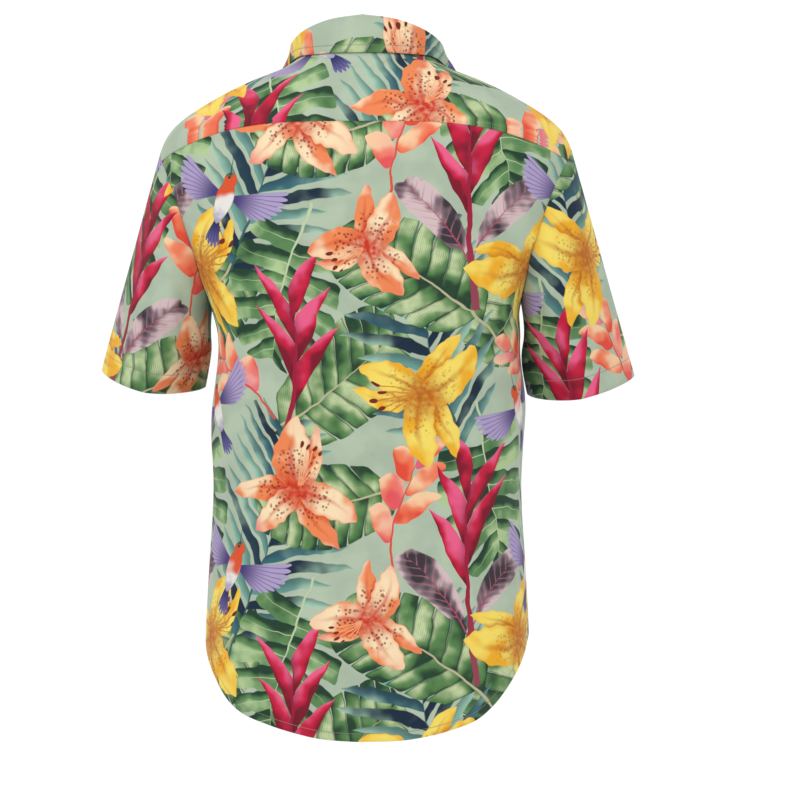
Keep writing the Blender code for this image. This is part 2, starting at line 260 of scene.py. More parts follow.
def yokePatch():
    # a horseshoe round the neck: rows from its outer edge up to the neckline
    arm = evenly(yokeArm, yokeSteps)
    outer = np.concatenate([arm, evenly(yokeBackSeam(), backSteps)[::-1][1:-1], mirrored(arm)[::-1]])
    leftTurns = np.linspace(panels["yokeFrontNeck"], panels["yokeBackNeck"], yokeSteps + 1)
    backTurns = np.linspace(panels["yokeBackNeck"], -panels["yokeBackNeck"], backSteps + 1)
    neck = neckCurve(np.concatenate([leftTurns, backTurns[1:-1], -leftTurns[::-1]]))
    v = np.linspace(0, 1, shoulderRows)[:, None, None]
    return (1 - v) * outer[None] + v * neck[None]


def frontPatch():
    # between the hem, the opening's edge, the neck with the shoulder's seam, and the side with the armhole
    side = np.concatenate([sideRows, evenly(frontArm, armSteps)[1:]])
    heights = np.linspace(torso["sideHem"] - torso["frontTail"], torso["neckline"][-1][1], len(side))
    angles = -quarter - np.arctan(panels["lap"] / read(torso["sections"], heights)[1])
    edge = np.stack([angles, heights], axis=-1)
    edgeTurn = math.degrees(quarter - angles[-1])
    neck = neckCurve(np.linspace(edgeTurn, panels["yokeFrontNeck"], curvePoints))
    shoulder = np.linspace(neck[-1], frontArm[-1], shoulderRows)
    top = np.concatenate([evenly(neck, neckSteps), shoulder[1:]])
    hem = evenly(hemCurve(angles[0], 0), len(top) - 1)
    edge[0], edge[-1] = hem[0], top[0]
    return filled(hem, top, edge, side)


def normalsOf(points):
    # the cross product of a grid's slopes along both its ways
    return unit(np.cross(np.gradient(points, axis=1), np.gradient(points, axis=0)))


def runAlong(points, axis):
    # distances summed up along one way of the grid
    steps = np.linalg.norm(np.diff(points, axis=axis), axis=-1)
    start = np.zeros_like(np.take(steps, [0], axis=axis))
    return np.cumsum(np.concatenate([start, steps], axis=axis), axis=axis)


def nearLine(points, line):
    # for each point, its distance to a drawn line and how far along the line that is
    start, along = line[:-1], np.diff(line, axis=0)
    size = np.linalg.norm(along, axis=1)
    run = np.concatenate([[0], np.cumsum(size)])
    flat = points.reshape(-1, 3)
    distance, place = np.full(len(flat), 1.0), np.zeros(len(flat))
    for chunk in np.array_split(np.arange(len(flat)), max(1, len(flat) * len(size) // 2000000)):
        offset = flat[chunk, None] - start[None]
        t = np.clip((offset * along).sum(-1) / size**2, 0, 1)
        apart = np.linalg.norm(offset - t[..., None] * along, axis=-1)
        nearest = apart.argmin(axis=1)
        pick = np.arange(len(chunk)), nearest
        distance[chunk] = apart[pick]
        place[chunk] = run[nearest] + t[pick] * size[nearest]
    return distance.reshape(points.shape[:-1]), place.reshape(points.shape[:-1])


# Soft creases of the torso, in the flat cloth: from (x, y) to (x, y) in metres, x from the middle of the
# back round to the left, then the crease's half width and its depth. A negative depth is a ridge.
creases = {
    "bow": 0.12,  # of its length
    "fade": 2.2,  # beyond both ends, in its width
    "back": (
        (0.070, -0.120, 0.120, -0.330, 0.026, 0.0022),
        (-0.085, -0.130, -0.110, -0.300, 0.024, 0.0020),
        (0.150, -0.250, 0.075, -0.400, 0.020, -0.0018),
        (-0.165, -0.240, -0.095, -0.390, 0.022, -0.0020),
        (0.020, -0.300, 0.045, -0.560, 0.034, 0.0018),
        (-0.050, -0.380, -0.030, -0.660, 0.030, 0.0020),
        (0.175, -0.430, 0.120, -0.520, 0.018, 0.0016),
        (-0.180, -0.460, -0.110, -0.500, 0.016, 0.0014),
        (0.110, -0.500, 0.140, -0.690, 0.028, -0.0022),
        (-0.130, -0.540, -0.150, -0.690, 0.024, 0.0018),
        (0.060, -0.580, 0.070, -0.720, 0.026, 0.0016),
    ),
    "front": (
        (0.330, -0.250, 0.400, -0.420, 0.022, -0.0020),
        (-0.345, -0.240, -0.410, -0.380, 0.020, -0.0018),
        (0.350, -0.400, 0.380, -0.640, 0.028, 0.0020),
        (-0.370, -0.420, -0.350, -0.660, 0.030, 0.0022),
        (0.440, -0.300, 0.430, -0.520, 0.026, 0.0018),
        (-0.450, -0.340, -0.430, -0.600, 0.024, 0.0016),
        (0.400, -0.520, 0.440, -0.690, 0.024, -0.0018),
        (0.300, -0.470, 0.345, -0.500, 0.016, 0.0014),
        (-0.300, -0.440, -0.350, -0.490, 0.016, 0.0014),
    ),
}


def creased(x, y, lines):
    # the sum of soft troughs: a bell across each line, which bows a little, faded beyond both its ends
    depth = np.zeros_like(x)
    for x0, y0, x1, y1, width, sink in lines:
        along = np.array([x1 - x0, y1 - y0])
        length = np.hypot(*along)
        along /= length
        t = (x - x0) * along[0] + (y - y0) * along[1]
        bow = creases["bow"] * length * np.sin(math.pi * np.clip(t / length, 0, 1))
        across = (y - y0) * along[0] - (x - x0) * along[1] - bow
        beyond = np.maximum(np.maximum(-t, t - length), 0)
        depth -= sink * np.exp(-((across / width) ** 2) - (beyond / (creases["fade"] * width)) ** 2)
    return depth


def aroundForm(patch):
    # flat x of a patch: the length round the section from the middle of the back, less than 0 on the right
    angles, heights = patch[..., 0], patch[..., 1]
    shares = np.linspace(0, 1, 33)
    swept = quarter + (angles[..., None] - quarter) * shares
    points = form(swept, np.broadcast_to(heights[..., None], swept.shape))
    return np.linalg.norm(np.diff(points, axis=-2), axis=-1).sum(-1) * np.sign(quarter - angles)


flattening = {
    "grid": 44,  # rows and columns of the coarser grid
    "rounds": 800,
    "kept": 0.93,  # the share of its pace that a point keeps in each round
    "pulled": 0.12,  # and the share of its pull that is added
}


def laidFlat(points, x, y):
    # the cut of a piece: from a first guess at its flat place, the edges and diagonals of a coarser grid
    # are pulled to their true lengths, and the grid is read smoothly between them
    coarse = (np.linspace(0, size - 1, min(size, flattening["grid"])) for size in points.shape[:2])
    rows, columns = (knots.round().astype(int) for knots in coarse)
    solid, flat = points[rows][:, columns], np.stack([x, y], axis=-1)[rows][:, columns]
    high, wide = flat.shape[:2]
    links = []
    for down, right in ((0, 1), (1, 0), (1, 1), (1, -1)):
        first = (slice(0, high - down), slice(max(0, -right), wide - max(0, right)))
        second = (slice(down, high), slice(max(0, right), wide + min(0, right)))
        links.append((first, second, np.linalg.norm(solid[second] - solid[first], axis=-1, keepdims=True)))
    pace = np.zeros_like(flat)
    for _ in range(flattening["rounds"]):
        pull = np.zeros_like(flat)
        for first, second, length in links:
            apart = flat[second] - flat[first]
            now = np.maximum(np.linalg.norm(apart, axis=-1, keepdims=True), 1e-9)
            move = apart * (0.5 * (now - length) / now)
            pull[first] += move
            pull[second] -= move
        pace = flattening["kept"] * pace + flattening["pulled"] * pull
        flat = flat + pace
    for size, knots in ((points.shape[0], rows), (points.shape[1], columns)):
        table = np.concatenate([knots[:, None], flat.reshape(len(knots), -1)], axis=1)
        flat = read(table, np.arange(size)).T.reshape((size,) + flat.shape[1:]).swapaxes(0, 1)
    return flat[..., 0], flat[..., 1]


def sleeveGrid(rows, side):
    # rings from the cuff to the armhole, open at the underarm: each column is one cubic curve from the
    # armhole's seam to a pointed oval, |cos|^(2 / power) wide and |sin|^(2 / power) deep
    s = sleeve
    arcs = evenly(frontArm, armSteps)[:-1], evenly(yokeArm, yokeSteps)[:-1], evenly(backArm, armSteps)[::-1]
    ring = np.concatenate(arcs)
    seam, away = onForm(ring), formNormal(ring[:, 0], ring[:, 1])
    middle = (torso["armholeTop"] + torso["armholeBottom"]) / 2
    level = (seam[:, 2] - middle) / (torso["armholeTop"] - middle)
    around = np.arctan2(seam[:, 1] / torso["armholeBack"], level)
    high, rear = np.cos(around)[:, None], np.sin(around)[:, None]
    tiltOut, tiltForward = math.radians(s["outwardTilt"][side]), math.radians(s["forwardTilt"])
    outward = np.array([math.cos(tiltOut), 0, math.sin(tiltOut)])
    rearward = np.array([0, math.cos(tiltForward), -math.sin(tiltForward)])
    wide, deep = (np.sign(share) * np.abs(share) ** (2 / s["cuffPower"]) for share in (high, rear))
    cuff = np.array(s["cuffCentre"][side]) + s["cuffHalfWidth"][side] * wide * outward
    cuff = cuff + s["cuffHalfDepth"] * deep * rearward
    under = s["underarmOutward"][side]
    sideways = under + (s["capOutward"] - under) * (1 + high) / 2
    leaving = sideways * np.array([1.0, 0, 0]) + np.array([0, s["capRearward"], -1.0])
    leaving = unit(leaving + s["capSpread"] * (1 - high**2) * away)
    first = seam + s["capReach"] * leaving
    arriving = np.array(s["cuffDirection"]) + s["cuffSpread"] * (1 + high) * np.array([1.0, 0, 0])
    last = cuff - s["cuffReach"] * unit(arriving)
    t = np.linspace(1, 0, rows)[:, None, None]
    return (1 - t) ** 3 * seam + 3 * (1 - t) ** 2 * t * first + 3 * (1 - t) * t**2 * last + t**3 * cuff


sleeve = {
    # the wearer's left sleeve is 1, the right -1
    "cuffCentre": {1: (0.2400, -0.042, -0.3465), -1: (0.2350, -0.042, -0.3525)},
    "cuffHalfWidth": {1: 0.0590, -1: 0.0602},
    "cuffHalfDepth": 0.071,
    "outwardTilt": {1: 9.2, -1: 9.8},
    "forwardTilt": 11,
    "cuffPower": 1.5,  # 2 is an ellipse, less is pointed at its four ends
    "cuffDirection": (0.22, -0.23, -1.0),
    "cuffSpread": 0.03,  # more outward, from the underarm to the top
    "cuffReach": 0.070,
    "capReach": 0.062,
    "capOutward": 0.28,
    "underarmOutward": {1: 0.10, -1: 0.17},
    "capRearward": -0.10,
    "capSpread": 0.35,
    "hem": 0.022,
    "rings": 76,
    "flatCap": (0.004, 0.045),  # distances below the armhole over which creases come in
    "flatEnds": (0, 7),  # and columns from the underarm's seam
    # in the flat sleeve: x from its top line to the back, y up from the hem
    "creases": {
        1: (
            (0.060, 0.200, 0.075, 0.060, 0.016, 0.0020),
            (0.110, 0.150, 0.120, 0.020, 0.014, -0.0017),
            (0.150, 0.110, 0.090, 0.040, 0.014, 0.0019),
            (-0.040, 0.210, -0.060, 0.070, 0.015, 0.0016),
            (-0.120, 0.150, -0.100, 0.030, 0.016, -0.0018),
            (-0.170, 0.090, -0.120, 0.050, 0.013, 0.0016),
        ),
        -1: (
            (0.050, 0.190, 0.040, 0.090, 0.015, -0.0016),
            (0.095, 0.170, 0.115, 0.060, 0.016, 0.0021),
            (0.160, 0.100, 0.100, 0.020, 0.015, 0.0018),
            (-0.060, 0.190, -0.050, 0.050, 0.016, 0.0018),
            (-0.110, 0.120, -0.140, 0.020, 0.014, 0.0015),
            (-0.150, 0.130, -0.090, 0.090, 0.013, -0.0014),
        ),
    },
}
collar = {
    # degrees from the middle of the back, rise, lean, turn and height of the fall's edge, bulge
    "rows": (
        (0, 0.0288, 0.0050, 0, 0.0084, 0.0015),
        (45, 0.0272, 0.0035, 46, 0.0071, 0.0015),
        (90, 0.0187, -0.0030, 90, 0.0015, 0.0005),
        (104, 0.0175, -0.0020, 102, -0.0058, 0.0015),
        (120, 0.0160, 0.0000, 116, -0.0250, 0.0040),
        (150, 0.0130, 0.0000, 138, -0.0880, 0.0045),
        (174, 0.0100, -0.0010, 152, -0.1340, 0.0045),
    ),
    "steps": 190,
    "standRows": 9,
    "foldRows": 10,
    "fallRows": 26,
    "layers": 1.5,
    "foldRadius": 0.0024,
    "clearance": 0.0021,
    "bend": 0.45,
    "foot": 0.0012,
    "footDrop": 0.0004,
    "stitch": 0.0078,  # from the fall's edge to its stitches
}


def collarGrid():
    # columns round the neck; each goes up the stand, over a half circle and down a curve to the fall's edge
    c = collar
    end = c["rows"][-1][0]
    turns = np.linspace(-end, end, c["steps"] + 1)
    rise, lean, edgeTurn, edgeHeight, bulge = read(c["rows"], np.abs(turns))
    angles, heights = neckCurve(turns).T
    neck = form(angles, heights)
    outward = np.stack([np.cos(angles), np.sin(angles), np.zeros_like(angles)], axis=-1)
    foot = neck - c["foot"] * outward - c["footDrop"] * upward
    fold = neck + (rise - c["foldRadius"])[:, None] * upward - (lean - c["foldRadius"])[:, None] * outward
    top = fold - c["foldRadius"] * outward
    rows = [foot + t * (top - foot) for t in np.linspace(0, 1, c["standRows"])]
    for bend in np.linspace(math.pi, 0, c["foldRows"] + 1)[1:]:
        rows.append(fold + c["foldRadius"] * (math.cos(bend) * outward + math.sin(bend) * upward))
    edgeAngles = angleOf(np.sign(turns) * edgeTurn)
    edge = form(edgeAngles, edgeHeight) + c["clearance"] * formNormal(edgeAngles, edgeHeight)
    start = rows[-1]
    pulled = start + c["bend"] * (edge - start) + bulge[:, None] * (2 * outward + upward)
    for t in np.linspace(0, 1, c["fallRows"] + 1)[1:]:
        rows.append((1 - t) ** 2 * start + 2 * t * (1 - t) * pulled + t**2 * edge)
    return np.array(rows)


def newObject(name, data):
    # an object of the scene
    made = bpy.data.objects.new(name, data)
    bpy.context.scene.collection.objects.link(made)
    return made


def wall(name, points, thickness, values):
    # the outer face, the inner face at the cloth's thickness, and a round edge between the two;
    # values are given for each point and named as the materials read them
    rows, columns = points.shape[:2]
    outer = points.reshape(-1, 3)
    under = outer - normalsOf(points).reshape(-1, 3) * thickness.reshape(-1, 1)
    index = np.arange(rows * columns).reshape(rows, columns)
    face = np.stack([index[:-1, :-1], index[:-1, 1:], index[1:, 1:], index[1:, :-1]], axis=-1).reshape(-1, 4)
    edge = np.concatenate([index[0, :-1], index[:-1, -1], index[-1, :0:-1], index[:0:-1, 0]])
    inside = np.concatenate([index[1, :-1], index[:-1, -2], index[-2, :0:-1], index[:0:-1, 1]])
    starts = 0, columns - 1, columns + rows - 2, 2 * columns + rows - 3
    for k, corner in zip(starts, ((1, 1), (1, -2), (-2, -2), (-2, 1))):
        inside[k] = index[corner]
    outwards = unit(outer[edge] - outer[inside])
    middle = (outer[edge] + under[edge]) / 2 + outwards * thickness.reshape(-1)[edge][:, None] / 2
    count = rows * columns
    rim, after = 2 * count + np.arange(len(edge)), np.roll(edge, -1)
    rimAfter = np.roll(rim, -1)
    faces = np.concatenate([
        face,
        face[:, ::-1] + count,
        np.stack([after, edge, rim, rimAfter], axis=-1),
        np.stack([rimAfter, rim, edge + count, after + count], axis=-1),
    ])
    mesh = bpy.data.meshes.new(name)
    mesh.from_pydata(np.concatenate([outer, under, middle]), [], faces)
    mesh.shade_smooth()
    sources = np.concatenate([np.arange(count), np.arange(count), edge])
    for key, value in values.items():
        value = value.reshape(count, -1)[sources].astype(np.float32)
        if key == "cloth":
            value[count : 2 * count, 2] = 1  # the cloth's reverse
        kind, part = ("FLOAT_VECTOR", "vector") if value.shape[1] == 3 else ("FLOAT_COLOR", "color")
        mesh.attributes.new(key, kind, "POINT").data.foreach_set(part, value.ravel())
    return newObject(name, mesh)


def sewing(points, hems, seams):
    # distance past the nearest row of stitches, the run along it, and the distance to the nearest seam
    past, run = np.full(points.shape[:-1], 1.0), np.zeros(points.shape[:-1])
    for line, inset in hems:
        distance, place = nearLine(points, line)
        nearer = distance - inset < past
        past, run = np.where(nearer, distance - inset, past), np.where(nearer, place, run)
    seam = np.full(points.shape[:-1], 1.0)
    for line in seams:
        seam = np.minimum(seam, nearLine(points, line)[0])
    return past, run, seam


def hemThickness(points, hems):
    # a hem is the cloth turned in twice, pressed to its layers' height as far as its stitches
    thickness = np.full(points.shape[:-1], torso["cloth"])
    turns = torso["hemLayers"] - 1
    first, last = torso["hemFall"]
    for line, inset in hems:
        turned = 1 + turns - turns * ease(nearLine(points, line)[0], inset + first, inset + last)
        thickness = np.maximum(thickness, torso["cloth"] * turned)
    return thickness


cuts = {
    # each piece's flat width and length in metres, its share of that rectangle, and its place in the print
    "back": ((0.50, 0.67), 0.87, (0.03, 0.0)),
    "yoke": ((0.51, 0.16), 0.80, (0.17, 0.05)),
    "front_left": ((0.28, 0.73), 0.82, (0.17, 0.13)),
    "front_right": ((0.28, 0.73), 0.82, (0.07, 0.30)),
    "sleeve_left": ((0.40, 0.26), 0.68, (0.24, -0.24)),
    "sleeve_right": ((0.40, 0.26), 0.68, (0.02, -0.11)),
    "collar": ((0.60, 0.095), 0.60, (0.05, 0.02)),
}
studioShade = 0.68  # the cloth's own share of a colour that is seen in the studio's bright light


def ink(*seen):
    # a colour as it is seen, 0 to 255, made linear and freed of the studio's light
    linear = (((c / 255 + 0.055) / 1.055) ** 2.4 if c > 10 else c / 3295 for c in seen)
    return tuple(studioShade * c for c in linear) + (1.0,)


def inks(*colours):
    # a row of inks
    return tuple(ink(*colour) for colour in colours)


def leafForm(**own):
    # A rib bends by bow. Strips, count of them to its length, leave it at a slant, which fan changes towards
    # the tip and hook curves. They reach as far as swell(start, rise, fall) of the width, less uneven by
    # chance, are filled as swell(waist, swell, taper), and with whole their ends join to one outline.
    # A slot parts them, rib is the rib's half width, stem its length before the leaf and soft an edge's blur.
    plain = dict(whole=1, uneven=0, waist=1.0, swell=0, slot=0, slotFrom=0, slotTo=1, soft=0.006)
    return dict(plain, **own)


# The print: each kind of motif has its form, its inks and its places in the repeat, where a place is
# (x, y, turn in degrees, length, 1 or -1 for mirrored, its own number 0 to 1). "middle" and "half" are the
# ellipse, in the motif's own lengths, that holds all of it, and its place is the ellipse's middle.
repeat = (0.38, 0.40)
ground = inks((172, 188, 166), (184, 200, 176))
motifs = {
    "banana": {
        "form": leafForm(
            bow=0.16, slant=0.45, fan=0.10, hook=0.20, count=9, start=0.06, rise=0.5, fall=0.55,
            width=0.30, taper=0.04, fill=1.06, rib=0.011, stem=0.16, soft=0.005,
        ),
        "inks": inks(
            (26, 58, 40), (92, 138, 80), (206, 222, 170), (60, 102, 60), (24, 54, 40), (192, 184, 150),
        ),
        "middle": (0.47, 0.05), "half": (0.74, 0.42), "wobble": 0.03,
        "places": ((0.205, -0.25, -52, 0.185, 1, 0.3), (0.06, -0.35, 150, 0.175, -1, 0.8)),
    },
    "palm": {
        "form": leafForm(
            bow=0.22, slant=0.72, fan=0.25, hook=0.7, count=13, whole=0, start=0.10, rise=0.5, fall=0.6,
            width=0.42, uneven=0.25, waist=0.10, swell=0.4, taper=0.75, fill=0.80, rib=0.008, stem=0.10,
            soft=0.005,
        ),
        "inks": inks(
            (16, 40, 62), (56, 108, 120), (130, 184, 164), (168, 208, 184), (14, 36, 52), (50, 92, 94),
        ),
        "middle": (0.50, 0.08), "half": (0.68, 0.54), "wobble": 0.03,
        "places": ((0.135, -0.115, 118, 0.245, -1, 0.2), (0.33, -0.31, 62, 0.245, 1, 0.9)),
    },
    "monstera": {
        "form": leafForm(
            bow=0.08, slant=-0.15, fan=0.85, hook=0.15, count=6, start=0.08, rise=0.45, fall=0.6,
            width=0.44, taper=0.05, fill=1.06, slot=0.09, slotFrom=0.38, slotTo=0.50, rib=0.012, stem=0.25,
        ),
        "inks": inks((28, 62, 42), (92, 136, 84), (180, 206, 152), (194, 212, 168), (194, 210, 172)),
        "middle": (0.33, 0.02), "half": (0.86, 0.80), "wobble": 0.05,
        "places": ((0.265, -0.045, -105, 0.145, 1, 0.1), (0.105, -0.23, -70, 0.14, -1, 0.6)),
    },
    # more banana leaves over those
    "bananaOver": {"places": ((0.345, -0.235, 40, 0.178, -1, 0.5), (0.06, -0.075, -20, 0.155, 1, 0.15))},
    "feather": {
        "form": leafForm(
            bow=0.20, slant=0.85, fan=0.2, hook=0.3, count=9, start=0.02, rise=0.6, fall=0.6, width=0.20,
            uneven=0.04, taper=0.02, fill=1.5, rib=0.012, stem=0.12,
        ),
        "inks": inks((56, 52, 58), (124, 104, 112), (216, 192, 194), (190, 110, 130), (178, 70, 100)),
        "middle": (0.47, 0.06), "half": (0.74, 0.38), "wobble": 0.04,
        "places": ((0.255, -0.165, 122, 0.09, 1, 0.2), (0.325, -0.17, 62, 0.10, -1, 0.7)),
    },
    "ginger": {
        "form": leafForm(
            bow=0.25, slant=0.80, fan=0.2, hook=0.5, count=4, whole=0, start=0.3, rise=0.2, fall=0.4,
            width=0.32, uneven=0.3, waist=0.03, swell=0.5, taper=0.8, fill=1.0, rib=0.014, stem=0.25,
        ),
        "inks": inks((232, 76, 54), (244, 128, 92), (252, 208, 164), (230, 110, 150), (216, 84, 62)),
        "middle": (0.42, 0.07), "half": (0.80, 0.5), "wobble": 0.06,
        "places": ((0.36, -0.07, 96, 0.13, 1, 0.3), (0.19, -0.335, 40, 0.12, -1, 0.6)),
    },
    "heliconia": {
        "form": leafForm(
            bow=0.10, slant=1.75, fan=0.2, hook=1.1, count=3, whole=0, start=0.05, rise=0.1, fall=0.25,
            width=0.40, uneven=0.25, waist=0.20, swell=0.35, taper=1.25, fill=1.0, rib=0.022, stem=0.75,
            soft=0.004,
        ),
        "inks": inks(
            (126, 10, 40), (204, 20, 62), (238, 96, 140), (84, 10, 32), (150, 66, 84), (160, 18, 56),
        ),
        "middle": (0.33, 0.03), "half": (1.18, 0.56), "wobble": 0.04,
        "places": ((0.29, -0.125, 88, 0.135, 1, 0.3), (0.105, -0.33, 97, 0.13, -1, 0.8)),
    },
    "lily": {
        # its petals behind and in front; numbers above a half have the second of each two inks
        "back": dict(
            count=3, turn=0.0, curl=0.8, length=0.52, width=0.098, waist=0.05, rise=0.6, fall=0.85,
            uneven=0.16, ruffle=0.003, bend=0.25,
        ),
        "front": dict(
            count=3, turn=1.0472, curl=-0.5, length=0.50, width=0.135, waist=0.04, rise=0.65, fall=0.75,
            uneven=0.16, ruffle=0.005, bend=0.2,
        ),
        "inks": (
            inks((254, 228, 186), (252, 226, 104)),
            inks((243, 138, 84), (244, 178, 36)),
            inks((236, 112, 108), (248, 196, 52)),
            inks((206, 50, 26), (190, 104, 22)),
            inks((252, 176, 120), (206, 128, 30)),
        ),
        "spots": ink(120, 34, 22),
        "middle": (0.0, 0.0), "half": (0.56, 0.56), "wobble": 0.05,
        "places": (
            (0.10, -0.06, 10, 0.155, 1, 0.2), (0.215, -0.225, 40, 0.165, 1, 0.9),
            (0.02, -0.20, 75, 0.13, -1, 0.35), (0.345, -0.36, 100, 0.16, -1, 0.7),
        ),
    },
    "bird": {
        "wing": dict(
            x=0.08, y=0.03, middle=1.62, spread=0.95, feathers=9, reach=0.60, step=0.55, round=0.6, tips=0.5,
            fade=(0.15, 0.75), edge=0.65, inks=inks((70, 58, 118), (176, 160, 202), (84, 66, 122)),
        ),
        "tail": dict(
            x=0.10, y=0.0, middle=0.0, spread=0.62, feathers=5, reach=0.42, step=0, round=0.6, tips=0.6,
            fade=(0.3, 1.0), edge=0.7, inks=inks((44, 42, 104), (110, 104, 160), (30, 26, 70)),
        ),
        "inks": inks(
            (236, 232, 226), (224, 84, 40), (176, 168, 196), (70, 100, 70), (70, 60, 80), (38, 32, 40),
        ),
        "middle": (0.06, 0.0), "half": (0.70, 0.72), "wobble": 0.02,
        "places": ((0.215, -0.375, 60, 0.10, 1, 0.2), (0.175, -0.145, 110, 0.10, -1, 0.7)),
    },
}
motifs["bananaOver"] = dict(motifs["banana"], **motifs["bananaOver"])


def swell(share, waist, rise, taper):
    # (share + waist)^rise (1 - share)^taper, with its top at 1
    best = max(((k / 200 + waist) ** rise) * (1 - k / 200) ** taper for k in range(200))
    share = share.most(0.0)
    made = (1.0 - share).most(0.0) ** taper * (1 / best)
    return made * (share + waist) ** rise if rise else made


def frond(x, y, number, f):
    # a rib along x from 0 to 1 with strips on both sides, which start at the rib and run outwards at a slant
    y = y - x * x * f["bow"]
    side = y.over(0.0)
    away = abs(y)
    root = x - away * (x * f["fan"] + f["slant"]) + away * away * f["hook"]
    strip = root * f["count"] + side * 0.5
    step = strip.floor()
    across = strip - step - 0.5
    middle = (step + 0.5 - side * 0.5) * (1 / f["count"])
    at = middle * (1 - f["whole"]) + root * f["whole"] if f["whole"] else middle
    luck = (step * 17 + side * 131 + number * 570).round().random()
    reach = swell(at, f["start"], f["rise"], f["fall"]) * (f["width"] - luck * (f["width"] * f["uneven"]))
    out = away / reach.most(0.001)
    half = swell(out, f["waist"], f["swell"], f["taper"]) * (0.5 * f["fill"])
    if f["slot"]:
        half = half - out.ease(f["slotFrom"], f["slotTo"]) * f["slot"]
    inside = ((half - abs(across)) * (1 / f["count"])).ease(0.0, f["soft"])
    inside = inside * middle.over(0.0) * (1.0 - at).over(0.0) * (1.0 - out).over(0.0)
    rib = (f["rib"] - x * (0.75 * f["rib"]) - away).ease(0.0, f["soft"])
    rib = rib * x.over(-f["stem"]) * (0.99 - x).over(0.0)
    return inside, rib, across / half.most(0.02), out, luck


def petals(x, y, number, p):
    # leaves of a star round the middle: each is a swelling strip along its own ray, bent with the distance
    far = (x * x + y * y).root()
    turn = y.angle(x) + far * p["curl"] + p["turn"]
    sector = 2 * math.pi / p["count"]
    step = (turn * (1 / sector)).round()
    ray = turn - step * sector
    luck = (step * 23 + number * 320 + p["turn"] * 10).round().random()
    along = far * ray.cos() * (luck * (p["uneven"] / p["length"]) + 1 / p["length"])
    beside = far * ray.sin() + (along - 0.3) * along * (luck - 0.5) * p["bend"]
    half = swell(along, p["waist"], p["rise"], p["fall"]) * (p["width"] - luck * (0.35 * p["width"]))
    half = half + (along * 31.0 + luck * 40.0).sin() * p["ruffle"]
    return half - abs(beside), along, beside / half.most(0.01), luck, far


def plume(x, y, f):
    # feathers that spread like a fan from one point, each darker along its edges
    base, end, line = f["inks"]
    x, y = x - f["x"], y - f["y"]
    far = (x * x + y * y).root()
    turn = y.angle(x) - f["middle"]
    feather = turn * (f["feathers"] / f["spread"])
    across = feather - feather.round()
    side = turn * (1 / f["spread"])
    reach = (1.0 - side * (side * f["round"] + f["step"])) * (1.0 - across * across * f["tips"]) * f["reach"]
    inside = (reach - far).ease(0.0, 0.012) * (0.5 - abs(side)).ease(0.0, 0.05)
    colour = (far * (1 / f["reach"])).ease(*f["fade"]).blend(base, end)
    return inside, ((abs(across) - 0.30).ease(0.0, 0.2) * f["edge"]).blend(colour, line)


def onFrond(coloured):
    # a kind of leaf or flower made as a frond: its own function colours the strips and names the rib's ink
    def made(x, y, number, m, wash, fine, spots):
        inside, rib, across, out, luck = frond(x, y, number, m["form"])
        colour, stalk = coloured(m["inks"], x, across, out, luck, wash, fine)
        return inside.most(rib), rib.blend(colour, stalk)

    return made


@onFrond
def bananaLeaf(colours, x, across, out, luck, wash, fine):
    # paler half way out, with fine lines along the strips and dark edges
    dark, leaf, pale, line, edge, stalk = colours
    light = across * 0.25 + luck * 0.25 + wash * 0.9 + (out - out * out) * 1.3 - 0.36
    colour = light.shades((dark, leaf, pale), (0.0, 0.40), (0.35, 0.85))
    lines = ((across * 32.0 + luck * 5.0).sin() * 0.5 + 0.5) * (fine * 0.45 + 0.08)
    colour = lines.blend(colour, line)
    return ((abs(across) - 0.70).ease(0.0, 0.27) * 0.8).blend(colour, edge), stalk


@onFrond
def palmLeaf(colours, x, across, out, luck, wash, fine):
    # each blade has its own shade, with a paler tip and one dark side
    dark, leaf, pale, tip, edge, stalk = colours
    colour = luck.shades((dark, leaf, pale), (0.15, 0.55), (0.55, 0.95))
    colour = (out * 0.9 + wash * 0.8 - 0.6).ease(0.0, 0.9).blend(colour, tip)
    return (across.ease(-0.9, 0.9) * 0.5).blend(colour, edge), stalk


@onFrond
def monsteraLeaf(colours, x, across, out, luck, wash, fine):
    # darker beside the pale veins that run out in the middle of the strips
    dark, leaf, pale, line, stalk = colours
    light = across * 0.35 - abs(across) * 0.30 + wash * 0.65 + fine * 0.05 + 0.15
    colour = light.shades((dark, leaf, pale), (0.0, 0.40), (0.38, 0.80))
    vein = (0.07 - out * 0.042 - abs(across)).ease(0.0, 0.05)
    return (vein * 0.85).blend(colour, line), stalk


@onFrond
def featherLeaf(colours, x, across, out, luck, wash, fine):
    # paler outwards, with thin veins that end before its rim
    dark, leaf, pale, line, stalk = colours
    light = wash * 1.4 - abs(across) * 0.25 + out * 0.5 - 0.35
    colour = light.shades((dark, leaf, pale), (0.1, 0.5), (0.45, 0.95))
    vein = (0.16 - abs(across)).ease(0.0, 0.12) * (1.0 - out)
    return (vein * 0.8).blend(colour, line), stalk


@onFrond
def gingerSprig(colours, x, across, out, luck, wash, fine):
    # petals paler outwards, some of them pink at the foot
    dark, petal, pale, pink, stalk = colours
    light = across * 0.4 + wash * 1.2 + out * 0.5 - 0.3
    colour = light.shades((dark, petal, pale), (0.0, 0.45), (0.4, 0.95))
    return (luck.ease(0.5, 0.8) * (0.75 - out * 0.75)).blend(colour, pink), stalk


@onFrond
def heliconiaFlower(colours, x, across, out, luck, wash, fine):
    # bracts with one bright side and a dark foot, on a stalk that reddens upwards
    dark, petal, pale, heart, stalk, top = colours
    light = across * 0.5 + wash + out * 0.3 - 0.15
    colour = light.shades((dark, petal, pale), (0.0, 0.45), (0.40, 0.95))
    colour = (0.5 - out.ease(0.0, 0.25) * 0.5).blend(colour, heart)
    return colour, x.ease(-0.7, 0.1).blend(stalk, top)


